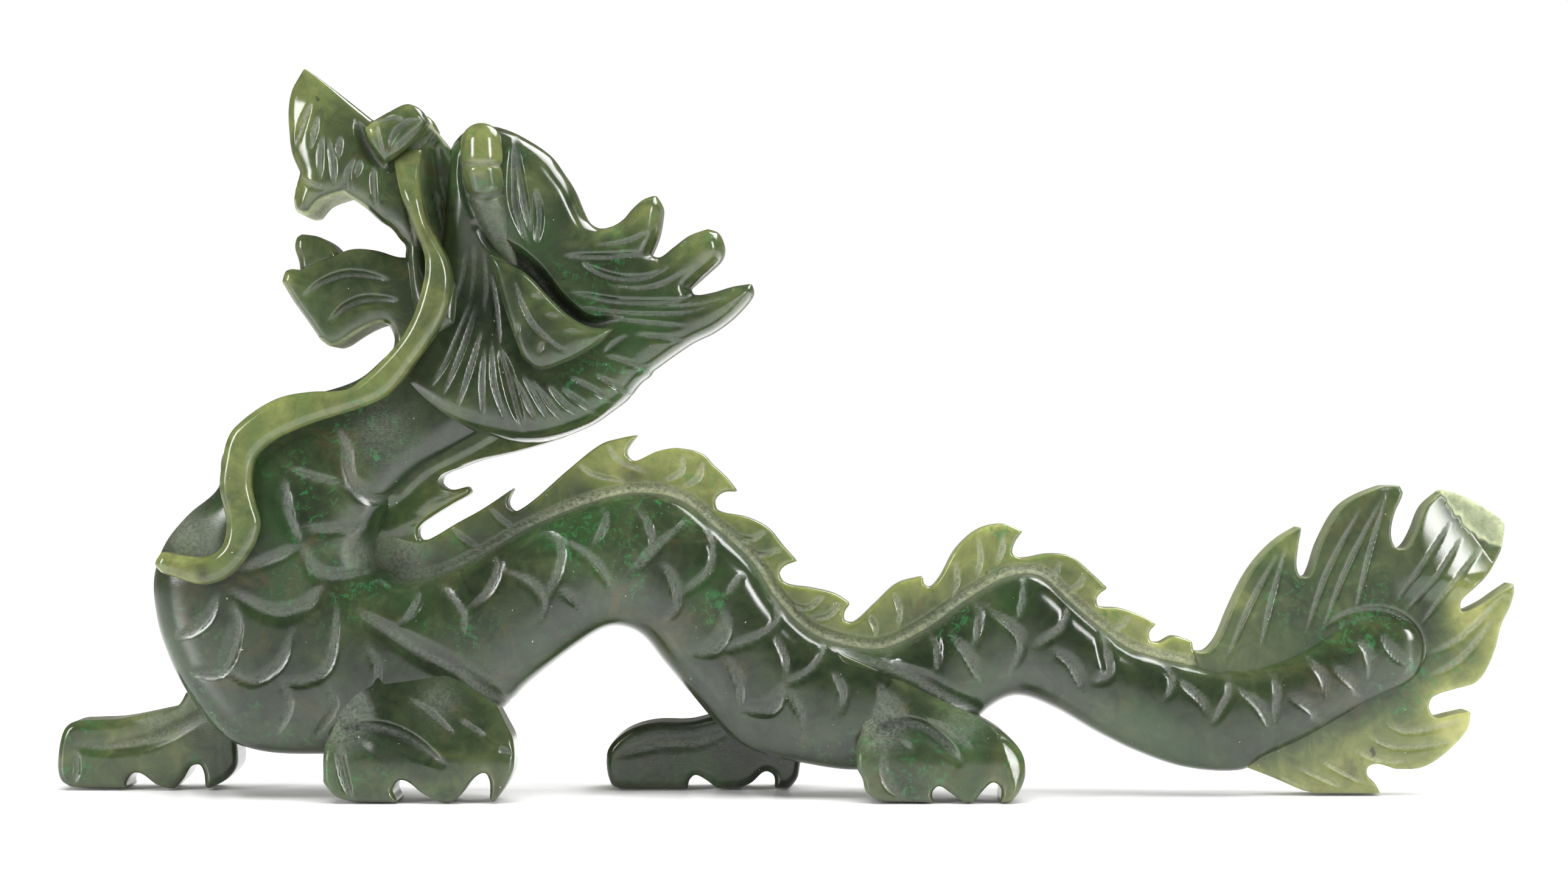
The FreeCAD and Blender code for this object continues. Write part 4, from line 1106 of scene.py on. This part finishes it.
VALLEY = [(-42.0, 78.0), (-40.0, 75.8), (-36.6, 73.4), (-33.9, 70.7), (-31.8, 68.0), (-29.1, 65.6),
          (-26.4, 64.4), (-22.6, 65.2)]
MANE = [
    [(-45.7, 87.9), (-45.0, 89.2), (-44.0, 90.3), (-42.5, 91.1), (-40.7, 91.4), (-38.7, 91.1), (-36.0, 90.0),
     (-32.0, 87.4), (-30.2, 85.0), (-28.8, 82.8), (-27.7, 80.2), (-26.7, 78.3), (-25.3, 77.4), (-23.7, 77.6),
     (-22.1, 78.5), (-20.6, 80.2), (-19.1, 81.4), (-17.5, 81.9)],
    [(-16.6, 80.4), (-16.7, 78.5), (-17.2, 76.1), (-18.2, 73.7)],
    [(-17.0, 73.4), (-15.1, 74.8), (-12.9, 76.4), (-10.4, 77.3)],
    [(-8.9, 76.7), (-8.1, 74.8), (-8.5, 73.2), (-10.0, 71.7), (-12.8, 69.2)],
    [(-12.2, 68.3), (-9.7, 68.6), (-7.0, 69.4), (-4.4, 69.8)],
    [(-4.1, 68.6), (-5.1, 67.0), (-7.3, 64.8), (-9.7, 63.1), (-12.4, 61.8), (-15.1, 60.0), (-18.0, 57.9)],
    [(-18.4, 57.2)],
    [(-19.7, 56.2), (-21.5, 54.0), (-23.7, 52.3), (-25.8, 50.8), (-28.3, 49.6), (-30.7, 48.7), (-33.1, 48.1),
     (-35.8, 47.9), (-38.2, 48.1), (-43.1, 49.2), (-46.3, 50.6), (-50.0, 53.0), (-54.0, 55.6)],
    [(-51.2, 60.0), (-48.8, 66.0), (-47.2, 74.0), (-46.2, 82.0), (-45.7, 87.9)],
]
LOCK_GROOVES = lines(
    1.7, 0.9, 0.4,
    [(-30.0, 73.6), (-24.8, 73.5), (-21.0, 73.8), (-18.4, 73.8)],
    [(-28.0, 73.4), (-25.8, 71.5), (-22.6, 70.5), (-19.1, 70.7), (-16.2, 72.1)],
    [(-29.1, 68.6), (-22.6, 67.3), (-15.1, 67.4), (-12.4, 68.7)],
    [(-34.0, 82.6), (-33.6, 79.4), (-33.9, 75.4)],
    [(-36.6, 89.6), (-36.4, 86.0), (-35.7, 81.5), (-34.7, 76.5)],
) + lines(
    1.0, 0.55, 0.4,
    [(-28.5, 66.6), (-21.8, 65.9), (-15.1, 65.7), (-9.7, 66.9)],
    [(-24.8, 65.3), (-19.1, 64.5), (-13.5, 64.0)],
    [(-20.5, 62.9), (-16.2, 62.4), (-13.5, 62.1)],
    [(-24.8, 60.4), (-23.0, 61.8), (-21.5, 62.7)],
    [(-24.5, 60.0), (-19.9, 58.6), (-17.8, 58.7)],
    [(-20.0, 66.9), (-13.0, 67.0), (-7.4, 68.2)],
    [(-26.0, 75.2), (-22.0, 75.6), (-18.6, 77.0)],
    [(-24.0, 69.6), (-18.0, 69.4), (-13.4, 71.6)],
)
HAIRS = lines(
    0.85, 0.55, 0.5,
    [(-43.0, 67.4), (-44.6, 63.0), (-46.2, 59.2), (-48.2, 55.8)],
    [(-42.3, 66.9), (-44.0, 61.0), (-46.6, 54.6)],
    [(-41.5, 63.5), (-42.8, 58.6), (-44.7, 52.6)],
    [(-41.0, 61.2), (-41.3, 56.4), (-41.0, 50.4)],
    [(-40.1, 62.0), (-39.7, 56.6), (-38.9, 53.6), (-37.7, 50.2)],
    [(-38.0, 58.3), (-35.8, 54.8), (-34.0, 51.0)],
    [(-35.8, 57.3), (-33.9, 54.3), (-32.3, 51.1)],
    [(-34.5, 56.5), (-32.0, 53.2), (-30.2, 50.8)],
    [(-32.3, 55.9), (-29.9, 53.2), (-28.0, 51.6)],
    [(-30.4, 55.4), (-27.7, 53.5), (-25.8, 51.9)],
    [(-29.3, 57.0), (-25.8, 55.1), (-23.2, 53.2)],
    [(-25.8, 57.3), (-23.2, 55.9), (-21.0, 54.6)],
    [(-40.2, 71.0), (-39.6, 66.8), (-38.9, 61.0)],
) + lines(
    0.7, 0.3, 0.4,
    [(-43.6, 74.5), (-44.2, 70.5), (-45.6, 66.5)],
    [(-42.6, 75.0), (-42.6, 70.8), (-43.2, 67.6)],
    [(-41.2, 74.0), (-41.0, 69.8), (-41.2, 66.0)],
) + lines(2.0, 1.2, 0.2, [(-38.9, 60.9), (-37.7, 57.2), (-36.6, 53.0), (-35.7, 50.0)])


def mane_faces(X, Z):
    """The mane's two faces: fullest at the crown and the beard, thinner in the locks."""
    half = 6.1 + 1.9 * np.exp(-(((X + 40) / 10) ** 2) - ((Z - 84) / 10) ** 2)
    half = half + 3.0 * np.exp(-(((X + 41) / 14) ** 2) - ((Z - 54) / 10) ** 2)
    half = half + 0.4 * np.exp(-(((X + 14) / 12) ** 2) - ((Z - 62) / 5) ** 2)
    return -half, half


slab(
    "mane", "jade_head", MANE, -9.2, 9.2, r=1.8, swell=(4.2, 3.4), face=mane_faces,
    nodes=["mane_crown", "mane_lock_upper", "mane_lock_middle", "mane_lock_lower", "beard_fan"],
    strokes=LOCK_GROOVES + HAIRS + lines(3.4, 2.6, 0.3, VALLEY)
    + lines(1.6, 0.9, 0.0, [(-44.2, 88.2), (-43.9, 84.0), (-42.6, 79.0)])
    + lines(1.6, 0.9, 0.3, [(-36.9, 90.2), (-37.1, 85.0), (-36.9, 80.5), (-35.3, 75.4)]),
    # painted light in the mane's colour, rims and glow patches; painted shade in the valley, behind the horn
    # and in hollows between the locks
    painted_glow=0.17, rim_glow=0.13, step=FINE,
    glow=[(-33, 83, 4, 0.12), (-24, 78, 4, 0.10), (-11, 75, 4, 0.18), (-7, 67, 3, 0.20), (-45, 51.5, 4, 0.18),
          (-27, 50, 4, 0.05), (-19, 79, 4, 0.18), (-13, 73, 4, 0.12)],
    deep=[(-40.5, 66, 3.4, 0.55), (-40.0, 76, 2.6, 0.5), (-44.5, 80, 2.5, 0.3), (-36.2, 80, 1.4, 0.3),
          (-29.5, 66.5, 2.0, 0.35), (-12.5, 64.5, 3.6, 0.20), (-28, 52.5, 4.2, 0.20)],
)

# ---------------- studio


def area(name, at, target, size, power, seen=True):
    """A soft box. One that is not seen lights the stone without showing as a highlight."""
    light = bpy.data.lights.new(name, "AREA")
    light.shape = "RECTANGLE"
    light.size, light.size_y = size
    light.energy = power
    o = bpy.data.objects.new(name, light)
    bpy.context.scene.collection.objects.link(o)
    o.location = at
    away = Vector(at) - Vector(target)
    o.rotation_euler = away.to_track_quat("Z", "Y").to_euler()
    o.visible_glossy = seen


def backdrop():
    """White to the camera. The stone sees a brighter sky near the floor than overhead."""
    world = bpy.data.worlds.new("studio")
    bpy.context.scene.world = world
    world.use_nodes = True
    n = Nodes(world.node_tree)
    world.node_tree.nodes.clear()
    up = n.add("ShaderNodeSeparateXYZ", Vector=n.add("ShaderNodeTexCoord").outputs["Generated"]).outputs["Z"]
    sky = n.math("MULTIPLY_ADD", n.step(up, 0.22, -0.04), 0.34, 0.10)
    path = n.add("ShaderNodeLightPath").outputs["Is Camera Ray"]
    level = n.math("MAXIMUM", path, sky)
    back = n.add("ShaderNodeBackground", Color=n.mix(path, (1, 1, 0.90), (1, 1, 1)), Strength=level)
    out = n.add("ShaderNodeOutputWorld")
    world.node_tree.links.new(back.outputs[0], out.inputs["Surface"])


def table():
    """A white, slightly glossy table whose far edges fade into the backdrop."""
    bpy.ops.mesh.primitive_grid_add(x_subdivisions=8, y_subdivisions=8, size=2.4, location=(0, 0, -0.0001))
    floor = bpy.context.object
    floor.name = "floor"
    m = bpy.data.materials.new("white_table")
    m.use_nodes = True
    n = Nodes(m.node_tree)
    m.node_tree.nodes.clear()
    place = n.add("ShaderNodeTexCoord").outputs["Object"]
    far = n.add("ShaderNodeVectorMath", set_operation="LENGTH", in0=place).outputs["Value"]
    fade = n.step(far, 0.18, 0.55)
    grit = n.noise(place, 900.0, 3.0)
    white = n.add("ShaderNodeBsdfPrincipled", Roughness=n.math("MULTIPLY_ADD", grit, 0.06, 0.22))
    n.put(white, "Base Color", (0.93, 0.93, 0.93, 1))
    white.inputs["Specular IOR Level"].default_value = 0.35
    clear = n.add("ShaderNodeBsdfTransparent")
    mix = n.add("ShaderNodeMixShader", Fac=fade, in1=white.outputs[0], in2=clear.outputs[0])
    out = n.add("ShaderNodeOutputMaterial")
    m.node_tree.links.new(mix.outputs[0], out.inputs["Surface"])
    floor.data.materials.append(m)


def lights():
    """Two tall soft boxes give the highlights, and three broad ones fill from above and behind."""
    area("key_left", (-0.50, -0.40, 0.22), (-0.02, 0, 0.05), (0.16, 0.34), 3.2)
    area("key_right", (0.50, -0.36, 0.22), (0.0, 0, 0.05), (0.14, 0.34), 3.2)
    area("top", (0.0, -0.15, 0.70), (0, 0, 0.04), (0.9, 0.6), 12.0, seen=False)
    area("crown_rim", (0.30, 0.30, 0.50), (-0.03, 0, 0.08), (0.5, 0.3), 4.0)
    area("behind", (-0.1, 0.65, 0.35), (0, 0, 0.05), (0.8, 0.5), 4.0, seen=False)


def camera():
    """Level with the neck, square to the dragon's left side."""
    cam = bpy.data.cameras.new("camera")
    cam.lens = LENS
    cam.sensor_width = 36.0
    cam.clip_start = 0.01
    o = bpy.data.objects.new("camera", cam)
    bpy.context.scene.collection.objects.link(o)
    o.location = (0, -EYE_AWAY * MM, EYE_HIGH * MM)
    o.rotation_euler = (math.radians(90), 0, 0)
    bpy.context.scene.camera = o


backdrop()
table()
lights()
camera()
bpy.context.scene.view_settings.view_transform = "Standard"
